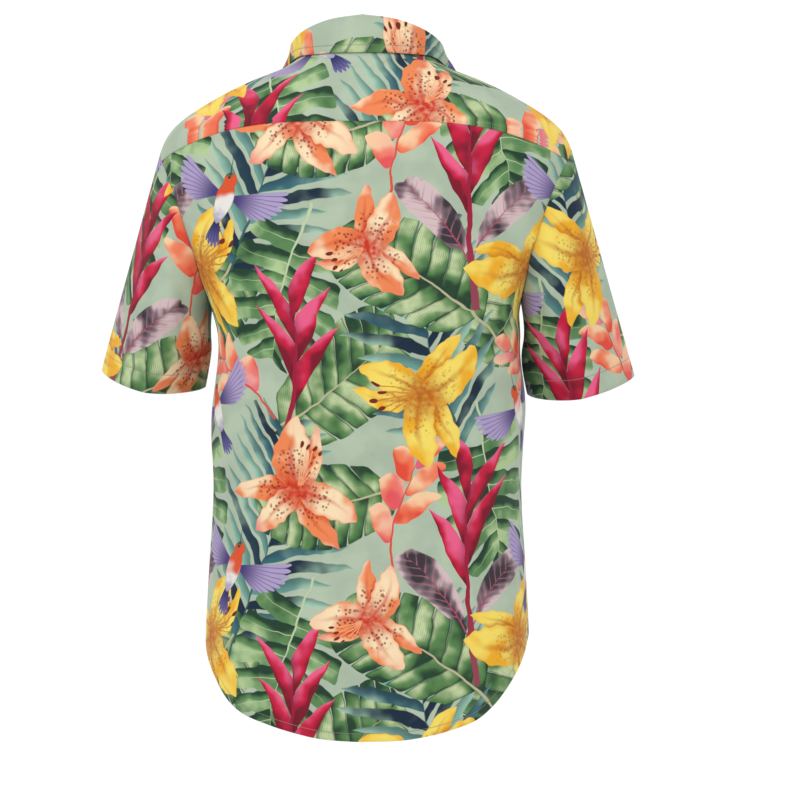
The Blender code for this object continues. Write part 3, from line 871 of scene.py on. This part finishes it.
def lilyFlower(x, y, number, m, wash, fine, spots):
    # three petals at the back, three in front with their shadow, and six filaments in a fan
    second = number.over(0.5)
    warm, deep, tip, heart, thread = (second.blend(*pair) for pair in m["inks"])
    speckled = (0.30 - spots).ease(0.0, 0.08)

    def coloured(along, across, luck, shade):
        # from the dark heart to the tip, with a crease, darker edges and speckles half way out
        light = across * 0.30 + wash * 1.2 + luck * 0.3 + (shade - 0.20)
        colour = light.ease(0.15, 0.7).blend(deep, warm)
        colour = (along.ease(0.62, 1.0) * (luck * 0.75 + 0.15)).blend(colour, tip)
        colour = ((1.0 - along.ease(0.02, 0.48)) * (fine * 0.6 + 0.6)).blend(colour, heart)
        crease = (1.0 - abs(across * 4.0).ease(0.0, 1.0)) * (0.7 - along.ease(0.3, 0.95) * 0.7)
        colour = crease.blend(colour, heart)
        colour = (abs(across).ease(0.74, 1.0) * 0.5).blend(colour, deep)
        dark = speckled * (0.9 - second * 0.5) * along.ease(0.16, 0.24) * (1.0 - along.ease(0.48, 0.60))
        dark = dark * (0.85 - abs(across).ease(0.5, 0.8) * 0.85)
        return dark.blend(colour, m["spots"])

    gap, along, across, luck, far = petals(x, y, number, m["back"])
    back = gap.ease(0.0, 0.006) * (1.0 - along).over(0.0)
    colour = coloured(along, across, luck, -0.12)
    gap, along, across, luck, far = petals(x, y, number, m["front"])
    front = gap.ease(0.0, 0.006) * (1.0 - along).over(0.0)
    colour = (gap.ease(-0.035, 0.0) * 0.55).blend(colour, heart)
    colour = front.blend(colour, coloured(along, across, luck, 0.08))
    fan = ((y - 0.02).angle(x - 0.01) - 1.9) * (1 / 0.19)
    nearest = fan.round()
    beside = abs(fan - nearest) * 0.19 * far
    among = (2.5 - abs(nearest)).over(0.0)
    end = (nearest * 3.1 + number).sin() * 0.03 + 0.30 - far
    stalk = (0.0065 - beside).ease(0.0, 0.004) * far.ease(0.03, 0.05) * end.over(0.0) * among
    anther = (0.016 - (beside * beside + end * end * 0.25).root()).ease(0.0, 0.004) * among
    colour = (stalk * 0.9).blend(colour, thread)
    return back.most(front), anther.blend(colour, m["spots"])


def smallBird(x, y, number, m, wash, fine, spots):
    # a bird seen from above: both wings spread, a fan of a tail, a round body and a thin beak
    white, red, grey, crown, rim, black = m["inks"]
    tail, colour = plume(x * -1.0, y, m["tail"])
    wings, feathers = plume(x, abs(y), m["wing"])
    colour = wings.blend(colour, feathers)
    plump = x * 0.0945 + 0.105
    head = 1.0 - ((x - 0.25) * (x - 0.25) + y * y) * 150.0
    body = (1.0 - x * x * 16.0 - y * y / (plump * plump)).most(head)
    coat = (x + wash * 0.3).ease(0.17, 0.29).blend(white, red)
    coat = (x + fine * 0.1).ease(-0.17, 0.0).blend(grey, coat)
    coat = ((x - 0.25).ease(0.0, 0.05) * (y + 0.02).ease(0.0, 0.03)).blend(coat, crown)
    coat = ((0.25 - body).ease(0.0, 0.25) * 0.4).blend(coat, rim)
    trunk = body.ease(0.0, 0.12)
    colour = trunk.blend(colour, coat)
    beak = (0.015 - x * 0.02 - abs(y + 0.055 - x * 0.25)).ease(0.0, 0.005)
    beak = beak * x.over(0.3) * (0.62 - x).over(0.0)
    eye = (0.016 - ((x - 0.27) * (x - 0.27) + (y - 0.025) * (y - 0.025)).root()).ease(0.0, 0.005)
    return tail.most(wings).most(trunk).most(beak), beak.most(eye).blend(colour, black)


drawn = {
    "palm": palmLeaf, "banana": bananaLeaf, "bananaOver": bananaLeaf, "monstera": monsteraLeaf,
    "feather": featherLeaf, "ginger": gingerSprig, "heliconia": heliconiaFlower, "lily": lilyFlower,
    "bird": smallBird,
}


def placed(kind, x, y):
    # each point's place in the nearest motif of a kind: along and across it in its own lengths, its number,
    # and how surely the point is within its ellipse, 0 at the rim and halfway to the next one
    m = motifs[kind]
    found = np.full(x.shape + (4,), 5.0)
    best, second = np.full(x.shape, 9.0), np.full(x.shape, 9.0)
    for left, down, turn, length, flip, number in m["places"]:
        dx = (x - left + repeat[0] / 2) % repeat[0] - repeat[0] / 2
        dy = (y - down + repeat[1] / 2) % repeat[1] - repeat[1] / 2
        c, s = math.cos(math.radians(turn)) / length, math.sin(math.radians(turn)) / length
        along, across = dx * c + dy * s, (dy * c - dx * s) * flip
        distance = np.hypot(along / m["half"][0], across / m["half"][1])
        nearer = distance < best
        second = np.where(nearer, best, np.minimum(second, distance))
        best = np.where(nearer, distance, best)
        own = along + m["middle"][0], across + m["middle"][1], np.full_like(x, number), np.zeros_like(x)
        found = np.where(nearer[..., None], np.stack(own, axis=-1), found)
    found[..., 3] = np.clip(6 * np.minimum(1 - best, second - best), 0, 1)
    return found


def mathsOf(operation, order=1):
    # what an operator or a method of Field does: one Math node on its values, in reflected order for -1
    return lambda *values: Field.node("Math", {"operation": operation}, dict(enumerate(values[::order])))


class Field:
    # a shader socket that takes part in sums and products
    tree = None
    __add__ = __radd__ = mathsOf("ADD")
    __mul__ = __rmul__ = mathsOf("MULTIPLY")
    __sub__, __rsub__ = mathsOf("SUBTRACT"), mathsOf("SUBTRACT", -1)
    __truediv__, __rtruediv__ = mathsOf("DIVIDE"), mathsOf("DIVIDE", -1)
    __pow__, __abs__ = mathsOf("POWER"), mathsOf("ABSOLUTE")
    sin, cos, angle = mathsOf("SINE"), mathsOf("COSINE"), mathsOf("ARCTAN2")
    root, floor, round = mathsOf("SQRT"), mathsOf("FLOOR"), mathsOf("ROUND")
    most, over = mathsOf("MAXIMUM"), mathsOf("GREATER_THAN")

    def __init__(self, socket):
        self.socket = socket

    @staticmethod
    def node(kind, settings, inputs, output=0):
        # a node's settings come first, then the values or links of its sockets
        made = Field.tree.nodes.new("ShaderNode" + kind)
        for key, value in settings.items():
            setattr(made, key, value)
        for key, value in inputs.items():
            if isinstance(value, Field):
                Field.tree.links.new(value.socket, made.inputs[key])
            else:
                made.inputs[key].default_value = value
        return Field(made.outputs[output])

    @staticmethod
    def stored(name):
        # values that the mesh holds for each point
        return Field.node("Attribute", {"attribute_name": name}, {}, "Vector")

    def also(self, output):
        # another output of the same node
        return Field(self.socket.node.outputs[output])

    def into(self, shader, name):
        # links the value to a socket of the shader
        Field.tree.links.new(self.socket, shader.inputs[name])

    def clouds(self, scale, detail, output=0):
        # soft noise over the flat cloth
        sockets = {"Vector": self, "Scale": scale, "Detail": detail}
        return Field.node("TexNoise", {"noise_dimensions": "2D"}, sockets, output)

    def ease(self, first, last):
        # 0 below first, 1 above last and smooth between
        sockets = {"Value": self, "From Min": first, "From Max": last}
        return Field.node("MapRange", {"interpolation_type": "SMOOTHSTEP"}, sockets)

    def random(self):
        # a number from 0 to 1 that only the value decides
        return Field.node("TexWhiteNoise", {"noise_dimensions": "1D"}, {"W": self})

    def blend(self, colour, other):
        # from one colour to the other
        return Field.node("Mix", {"data_type": "RGBA"}, {0: self, 6: colour, 7: other}, 2)

    def shades(self, colours, *spans):
        # the first colour, and each next one over its own span of the value
        made = colours[0]
        for colour, span in zip(colours[1:], spans):
            made = self.ease(*span).blend(made, colour)
        return made

    def parts(self):
        # the three values of a vector
        split = Field.node("SeparateXYZ", {}, {0: self})
        return split, split.also(1), split.also(2)


def newMaterial(name, settings):
    # a material with settings of its Principled shader; the fields that follow add their nodes to it
    made = bpy.data.materials.new(name)
    made.use_nodes = True
    Field.tree = made.node_tree
    shader = made.node_tree.nodes["Principled BSDF"]
    for key, value in settings.items():
        shader.inputs[key].default_value = value
    return made, shader


cloth = {
    "shader": {"Roughness": 0.72, "Sheen Weight": 0.04, "Specular IOR Level": 0.18},
    "thread": ink(160, 168, 148),
    # painted shade: the dark colour beside the stitches and in the buttonholes' slits
    "paintedShade": ink(96, 88, 76),
    "reverse": ink(234, 238, 228),
    "reverseShare": 0.62,
    "weave": 0.00055,  # from one thread of the cloth to the next
    "weaveDepth": 0.00002,
    "stitch": 0.0028,  # from one stitch to the next
    "stitchHalf": 0.00034,  # half width of its thread, and the blur of its edge
    "stitchBlur": 0.00016,
    "stitchHeight": 0.00016,
    "stitchShare": 0.6,  # how much of the thread's own colour shows
    "dashHalf": 0.42,  # half length of a dash, and the blur of its ends, in stitches
    "dashBlur": 0.08,
    "shadeHalf": 0.0007,  # of the shade beside the stitches
    "shadeBlur": 0.0006,
    "shadeShare": 0.45,
    "dipWidth": 0.0011,  # of the groove that they pull into the cloth
    "dipDepth": 0.00035,
    "seamWidth": 0.0010,
    "seamDepth": 0.0003,
    "holeLength": 0.0082,  # half length of a buttonhole, and of its slit
    "slitLength": 0.0072,
    "holeHalf": 0.0014,  # half width of both bars together, and of the slit
    "slitHalf": 0.0003,
    "holeBlur": 0.0003,
    "slitBlur": 0.0002,
    "barThread": 0.00045,  # from one thread of the bars to the next
    "barHeight": 0.00022,  # of the bars, and of the ribs that their thread makes
    "ribHeight": 0.00008,
    "slitDepth": 0.0006,
    "crush": 0.0003,  # height of the cloth's soft unevenness
    "crushScale": 60.0,  # clouds to a metre: of that, of the print's wash, of the fine one and of its spots
    "washScale": 26.0,
    "fineScale": 170.0,
    "spotScale": 190.0,
    "bend": 1.6,  # how far the wash bends a motif, times its own wobble
}


def clothValues(node, x, y, sewn, slits=None):
    # what the cloth's material reads: the flat cloth's place in the print, how far stitches and seams are,
    # the buttonholes and each kind of motif's place
    x, y = x + cuts[node][2][0], y + cuts[node][2][1]
    values = {
        "slit": np.full(x.shape + (3,), 1.0) if slits is None else slits,
        "cloth": np.stack([x, y, np.zeros_like(x)], axis=-1),
        "sewn": np.stack(sewn, axis=-1),
    }
    for kind in motifs:
        values[kind] = placed(kind, x, y)
    return values


def printed(flat):
    # every kind of motif over the ones before it, on a ground with a soft wash
    bendX, bendY, wash = flat.clouds(cloth["washScale"], 2.0, "Color").parts()
    fine = flat.clouds(cloth["fineScale"], 1.0)
    bendX, bendY, wash = bendX - 0.5, bendY - 0.5, wash * 2.0 - 0.5
    fine = fine * 1.6 - 0.3
    sockets = {"Vector": flat, "Scale": cloth["spotScale"]}
    spots = Field.node("TexVoronoi", {"voronoi_dimensions": "2D"}, sockets, "Distance")
    colour = wash.ease(0.1, 0.9).blend(*ground)
    for kind, m in motifs.items():
        place = Field.stored(kind)
        x, y, number = place.parts()
        bend = cloth["bend"] * m["wobble"]
        x, y = x + bendX * bend, y + bendY * bend
        inside, inked = drawn[kind](x, y, number, m, wash, fine, spots)
        colour = (inside * place.also("Alpha").over(0.1)).blend(colour, inked)
    return colour


def clothMaterial():
    # the print, the paler reverse, stitches and buttonholes, over a bump of stitches, seams and weave
    c = cloth
    made, shader = newMaterial("printed cloth", c["shader"])
    flat = Field.stored("cloth")
    colour = printed(flat)
    x, y, reverse = flat.parts()
    colour = (reverse * c["reverseShare"]).blend(colour, c["reverse"])

    # rows of stitches: rounded dashes of thread in a shallow groove, with painted shade beside them
    past, run, seam = Field.stored("sewn").parts()
    dash = run * (1 / c["stitch"])
    dash = abs(dash - dash.round())
    thread = (c["stitchHalf"] - abs(past)).ease(0.0, c["stitchBlur"])
    thread = thread * (c["dashHalf"] - dash).ease(0.0, c["dashBlur"])
    # painted shade on both sides of the stitches, darker than the cloth's own colour
    shade = (c["shadeHalf"] - abs(past)).ease(0.0, c["shadeBlur"])
    colour = (shade * c["shadeShare"]).blend(colour, c["paintedShade"])
    colour = (thread * c["stitchShare"]).blend(colour, c["thread"])

    # buttonholes: a slit painted dark as shade, within two bars of close thread
    across, along, far = Field.stored("slit").parts()
    beside = abs(across)
    length = (c["holeLength"] - abs(along)).ease(0.0, c["holeBlur"])
    bars = (c["holeHalf"] - beside).ease(0.0, c["holeBlur"]) * length
    ribs = (along * (2 * math.pi / c["barThread"])).sin() * 0.5 + 0.5
    colour = bars.blend(colour, c["thread"])
    # painted shade: the slit is coloured dark as the shade in the cut
    gap = (c["slitHalf"] - beside).ease(0.0, c["slitBlur"])
    gap = gap * (c["slitLength"] - abs(along)).ease(0.0, 2 * c["slitBlur"])
    colour = gap.blend(colour, c["paintedShade"])
    colour.into(shader, "Base Color")

    dip = past * (1 / c["dipWidth"])
    height = thread * c["stitchHeight"] - (1.0 / (dip * dip + 1.0)) * c["dipDepth"]
    height = height + bars * (ribs * c["ribHeight"] + c["barHeight"]) - gap * c["slitDepth"]
    dip = seam * (1 / c["seamWidth"])
    height = height - (1.0 / (dip * dip + 1.0)) * c["seamDepth"]
    turns = 2 * math.pi / c["weave"]
    height = height + (x * turns).sin() * (y * turns).sin() * c["weaveDepth"]
    height = height + flat.clouds(c["crushScale"], 2.0) * c["crush"]
    Field.node("Bump", {}, {"Height": height, "Distance": 1.0, "Strength": 1.0}).into(shader, "Normal")
    return made


buttons = {
    "count": 7,
    "top": -0.090,
    "pitch": 0.087,
    "radius": 0.0057,
    "thickness": 0.0024,
    "rimWidth": 0.0011,
    "edgeRound": 0.7,  # how far in the round of the edge reaches, in half the thickness
    "dish": 0.0006,
    "holeSpread": 0.00125,
    "holeRadius": 0.00062,
    "holeFloor": 0.0003,
    "around": 72,
    "thread": 0.00030,
    "lift": 0.0021,  # from the form to the button's underside
    "turns": (17, -8, 31, 4, -22, 12, -3),
    # inks, roughness and the swirl's scale
    "plastic": (inks((214, 208, 190), (190, 182, 160)), 0.32, 260.0),
    "twist": (inks((168, 178, 156), (160, 168, 148)), 0.8, 2400.0),
}


def buttonPlaces():
    # even steps down the middle of the front, and the form's normal at each
    heights = buttons["top"] - buttons["pitch"] * np.arange(buttons["count"])
    angles = np.full(len(heights), -quarter)
    return form(angles, heights), formNormal(angles, heights)


def slitsOf(points):
    # across, along and 0: the place of each point in the nearest upright buttonhole
    places, _ = buttonPlaces()
    up = points[..., 2:3] - places[:, 2]
    nearest = np.abs(up).argmin(axis=-1)[..., None]
    up = np.take_along_axis(up, nearest, axis=-1)[..., 0]
    front = points[..., 1] < -0.02
    return np.stack([np.where(front, points[..., 0], 1.0), up, np.zeros_like(up)], axis=-1)


def sewnPiece(node, points, thickness, values):
    # the wall of one piece, with its cloth, its body and its cut, in place of its solid, which is hidden
    piece = wall(node + "_cloth", points, thickness, values)
    piece.data.materials.append(printCloth)
    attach(piece, "root")
    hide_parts(node)
    print(node, "made:", len(piece.data.polygons), "faces")


def panel(node, patch, x, y, hems, seams, held, lines, lift=None):
    # one sewn panel of the torso: its points on the form, creased, then given its thickness
    points, normals = onForm(patch), formNormal(patch[..., 0], patch[..., 1])
    fade = np.ones(points.shape[:-1])
    for line in held:
        fade *= ease(nearLine(points, line)[0], 0, panels["held"])
    fade *= np.where(points[..., 1] < 0, ease(abs(points[..., 0]), panels["lap"], panels["lapEnd"]), 1)
    height = creased(aroundForm(patch), patch[..., 1], lines) * fade
    if lift is not None:
        height = height + lift(points)
    slits = slitsOf(points) if node == "front_left" else None
    values = clothValues(node, *laidFlat(points, x, y), sewing(points, hems, seams), slits)
    thickness = hemThickness(points, hems)
    points = points + height[..., None] * normals
    points[..., 0] -= leaning(points[..., 2])
    sewnPiece(node, points, thickness, values)


def yokeLift(points):
    # the yoke's edge is lapped over the back and the fronts
    near = np.minimum(nearLine(points, seamYoke)[0], nearLine(points, frontSeam)[0])
    near = np.minimum(near, nearLine(points, rightFrontSeam)[0])
    return panels["yokeLift"] * (1 - ease(near, *panels["yokeLap"]))


def lapLift(points):
    # the left front is raised where it lies over the right one
    return panels["lapLift"] * (1 - ease(points[..., 0], panels["lapFlat"], panels["lapEnd"]))


printCloth = clothMaterial()
seamYoke = onForm(yokeBackSeam())
armholeLine = onForm(armholeCurve(-180, 180))
armholeRight = armholeLine * otherSide
creaseLines = creases["back"] + creases["front"]

# the back, with x round the body from its middle
patch = backPatch()
hem = onForm(hemCurve(0, math.pi))
sideLine = onForm(sideCurve())
panel(
    "back", patch, aroundForm(patch), patch[..., 1], [(hem, panels["hem"])],
    [sideLine, sideLine * otherSide, seamYoke, armholeLine, armholeRight],
    [seamYoke, armholeLine, armholeRight], creaseLines,
)

# the yoke, laid flat with x straight across, and y from its depth and a share of its height
patch = yokePatch()
points = onForm(patch)
frontSeam, rightFrontSeam = points[:, 0], points[:, -1]
panel(
    "yoke", patch, points[..., 0], panels["yokeSlope"] * points[..., 2] - points[..., 1], [],
    [armholeLine, armholeRight, seamYoke, frontSeam, rightFrontSeam],
    [armholeLine, armholeRight], (), yokeLift,
)


def frontPanel(node, patch, column, side, armhole, seam, lift=None):
    # a front, laid flat with x from its opening's edge, which is the patch's given column
    points = onForm(patch)
    x, y = runAlong(points, 1), runAlong(points, 0) + patch[:1, :, 1]
    hems = [(points[0], panels["hem"]), (points[:, column], panels["turnedEdge"])]
    x = x - x[:, column, None]
    panel(node, patch, x, y, hems, [side, armhole], [armhole, seam], creaseLines, lift)


patch = frontPatch()
frontPanel("front_left", patch, 0, sideLine, armholeLine, frontSeam, lapLift)
patch = mirrored(patch)[:, ::-1]
frontPanel("front_right", patch, -1, sideLine * otherSide, armholeRight, rightFrontSeam)

# both sleeves, laid flat with x from the top line and y up from the hem
for node, side in (("sleeve_left", 1), ("sleeve_right", -1)):
    points = sleeveGrid(sleeve["rings"], side)
    top = armSteps + yokeSteps // 2
    x, y = runAlong(points, 1), runAlong(points, 0)
    x = x - x[:, top : top + 1]
    edges = np.minimum(np.arange(points.shape[1]), np.arange(points.shape[1])[::-1])
    height = creased(x, y, sleeve["creases"][side]) * ease(y[-1:] - y, *sleeve["flatCap"])
    height = height * ease(edges, *sleeve["flatEnds"])
    points = points + height[..., None] * normalsOf(points)
    if side < 0:
        points, x, y = points[:, ::-1] * otherSide, -x[:, ::-1], y[:, ::-1]
    hems = [(points[0], sleeve["hem"])]
    values = clothValues(node, *laidFlat(points, x, y), sewing(points, hems, [points[-1]]))
    sewnPiece(node, points, hemThickness(points, hems), values)

# the collar, laid flat as an arch, with x from its middle and y down from its foot
points = collarGrid()
x, y = runAlong(points, 1), -runAlong(points, 0)
x = x - x[:, collar["steps"] // 2 : collar["steps"] // 2 + 1]
fall = points[collar["standRows"] + collar["foldRows"] - 1 :]
fallEdge = np.concatenate([fall[:, 0], fall[-1, 1:-1], fall[::-1, -1]])
sewn = sewing(points, [(fallEdge, collar["stitch"])], [points[0]])
values = clothValues("collar", *laidFlat(points, -x, y), sewn)
sewnPiece("collar", points, np.full(x.shape, torso["cloth"] * collar["layers"]), values)


def ringFaces(points, turned=False):
    # quads between the rings of a grid and a cap at both ends, turned where the rings run the other way
    rings, around = points.shape[:2]
    index = np.arange(rings * around).reshape(rings, around)
    after = np.roll(index, -1, axis=1)
    quads = np.stack([index[:-1], index[1:], after[1:], after[:-1]], axis=-1).reshape(-1, 4)
    first, last = index[0], index[-1][::-1]
    if turned:
        quads, first, last = quads[:, [0, 3, 2, 1]], first[::-1], last[::-1]
    return quads.tolist() + [first.tolist(), last.tolist()]


def buttonShape():
    # rings from the top's middle outwards, round the edge and back under; four holes are pressed in
    b = buttons
    radius, half, rim = b["radius"], b["thickness"] / 2, b["rimWidth"]
    reach = half * b["edgeRound"]
    edge = np.linspace(math.pi / 2, -math.pi / 2, 9)
    flat = np.concatenate([np.linspace(0.02, 0.45, 16), np.linspace(0.49, 1, 10)]) * (radius - reach)
    top = half * 2 - b["dish"] * (1 - ease(flat, radius - rim * 1.9, radius - rim))
    rings = np.concatenate([flat, radius - reach + reach * np.cos(edge[1:-1]), flat[::-1]])
    heights = np.concatenate([top, half + half * np.sin(edge[1:-1]), np.zeros_like(flat)])
    turns = np.linspace(0, 2 * math.pi, b["around"], endpoint=False)
    x, y = rings[:, None] * np.cos(turns), rings[:, None] * np.sin(turns)
    z = np.broadcast_to(heights[:, None], x.shape).copy()
    toHole = np.hypot(np.abs(x) - b["holeSpread"], np.abs(y) - b["holeSpread"])
    pit = 1 - ease(toHole, b["holeRadius"] * 0.8, b["holeRadius"] * 1.25)
    z[: len(flat)] -= (pit * (half * 2 - b["dish"] - b["holeFloor"]))[: len(flat)]
    points = np.stack([x, y, z], axis=-1)
    return points.reshape(-1, 3), ringFaces(points)


def threadShape(start, end):
    # a round thread that arches from one hole to another
    size = buttons["thread"]
    t = np.linspace(0, math.pi, 13)[:, None]
    start, end = np.array(start), np.array(end)
    middle, reach = (start + end) / 2, (end - start) / 2
    line = middle - np.cos(t) * reach + upward * (np.sin(t) * size * 1.6 - size)
    along = unit(np.gradient(line, axis=0))
    sideways = unit(np.cross(along, upward))
    over = np.cross(sideways, along)
    turns = np.linspace(0, 2 * math.pi, 10, endpoint=False)[:, None, None]
    points = np.moveaxis(line + size * (np.cos(turns) * sideways + np.sin(turns) * over), 0, 1)
    return points.reshape(-1, 3), ringFaces(points, turned=True)


def buttonMaterial(name, inks, roughness, scale):
    # plastic with a faint cloudy swirl, or a thread with fine turns
    made, shader = newMaterial(name, {"Roughness": roughness})
    place = Field.node("TexCoord", {}, {}, "Object")
    cloud = Field.node("TexNoise", {}, {"Vector": place, "Scale": scale, "Detail": 3.0, "Distortion": 1.4})
    cloud.ease(0.3, 0.7).blend(*inks).into(shader, "Base Color")
    Field.node("Bump", {}, {"Height": cloud, "Distance": 0.00005}).into(shader, "Normal")
    return made


plastic, twist = buttonMaterial("button", *buttons["plastic"]), buttonMaterial("thread", *buttons["twist"])
spread, level = buttons["holeSpread"], buttons["thickness"] - buttons["dish"]
above = level + buttons["thread"]
shape, shapeFaces = buttonShape()
isThread = [0] * len(shapeFaces)
for start, end in (
    ((-spread, -spread, level), (spread, spread, level)),
    ((-spread, spread, above), (spread, -spread, above)),
):
    threadPoints, threadFaces = threadShape(start, end)
    shapeFaces += [[len(shape) + k for k in face] for face in threadFaces]
    isThread += [1] * len(threadFaces)
    shape = np.concatenate([shape, threadPoints])

for number, (place, normal) in enumerate(zip(*buttonPlaces())):
    turn = math.radians(buttons["turns"][number])
    right = unit(np.cross(upward, normal))
    rise = np.cross(normal, right)
    across = math.cos(turn) * right + math.sin(turn) * rise
    along = math.cos(turn) * rise - math.sin(turn) * right
    at = place + buttons["lift"] * normal
    at[0] -= leaning(at[2])
    mesh = bpy.data.meshes.new("button_%d_disc" % (number + 1))
    mesh.from_pydata((at + shape @ np.stack([across, along, normal])).tolist(), [], shapeFaces)
    mesh.materials.append(plastic)
    mesh.materials.append(twist)
    mesh.polygons.foreach_set("material_index", isThread)
    mesh.shade_smooth()
    disc = newObject(mesh.name, mesh)
    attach(disc, "root")
    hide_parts("button_%d" % (number + 1))
print("buttons made")

studio = {
    "azimuth": 184.0,
    "elevation": 2.0,
    "distance": 4.0,
    "target": (0.0, 0.0, -0.35),
    "pixelsPerMetre": 910.0,
    "targetPixel": (366.0, 383.0),
    "imageSide": 800.0,
    # name, azimuth from the camera's, elevation, distance, size and power
    "lights": (
        ("key", -35, 38, 3.2, 2.2, 36),
        ("fill", 50, 14, 3.4, 2.4, 14),
        ("top", 0, 80, 2.6, 2.0, 6),
    ),
    "glow": 1.06,
    "floor": -1.45,
    "floorSide": 60.0,
    "floorShade": 0.96,
}


def pointedAt(name, data, azimuth, elevation, distance):
    # a camera or light on a sphere round the target, turned to it
    a, e, target = math.radians(azimuth), math.radians(elevation), np.array(studio["target"])
    direction = np.array([math.sin(a) * math.cos(e), -math.cos(a) * math.cos(e), math.sin(e)])
    made = newObject(name, data)
    made.location = Vector(target + distance * direction)
    made.rotation_euler = (Vector(target) - made.location).to_track_quat("-Z", "Y").to_euler()
    return made


def makeStudio():
    # the camera, a bright world, three soft lights and a pale floor
    s = studio
    scene = bpy.context.scene
    camera = bpy.data.cameras.new("camera")
    camera.sensor_width = 36
    camera.lens = s["pixelsPerMetre"] * camera.sensor_width * s["distance"] / s["imageSide"]
    camera.shift_x = 0.5 - s["targetPixel"][0] / s["imageSide"]
    camera.shift_y = s["targetPixel"][1] / s["imageSide"] - 0.5
    camera.clip_start, camera.clip_end = 0.1, 60
    scene.camera = pointedAt("camera", camera, s["azimuth"], s["elevation"], s["distance"])

    scene.world = bpy.data.worlds.new("studio")
    scene.world.use_nodes = True
    glow = scene.world.node_tree.nodes["Background"]
    glow.inputs["Color"].default_value = (1.0, 1.0, 1.0, 1)
    glow.inputs["Strength"].default_value = s["glow"]
    for name, azimuth, elevation, distance, size, power in s["lights"]:
        light = bpy.data.lights.new(name, "AREA")
        light.shape, light.size, light.energy = "DISK", size, power
        pointedAt(name, light, s["azimuth"] + azimuth, elevation, distance)

    side, shade = s["floorSide"], s["floorShade"]
    mesh = bpy.data.meshes.new("floor")
    corners = [(x * side, y * side, s["floor"]) for x, y in ((-1, -1), (1, -1), (1, 1), (-1, 1))]
    mesh.from_pydata(corners, [], [(0, 1, 2, 3)])
    settings = {"Base Color": (shade, shade, shade, 1), "Roughness": 0.9}
    mesh.materials.append(newMaterial("pale floor", settings)[0])
    floor = newObject("floor", mesh)
    scene.view_settings.view_transform = "Standard"


makeStudio()
print("studio made")
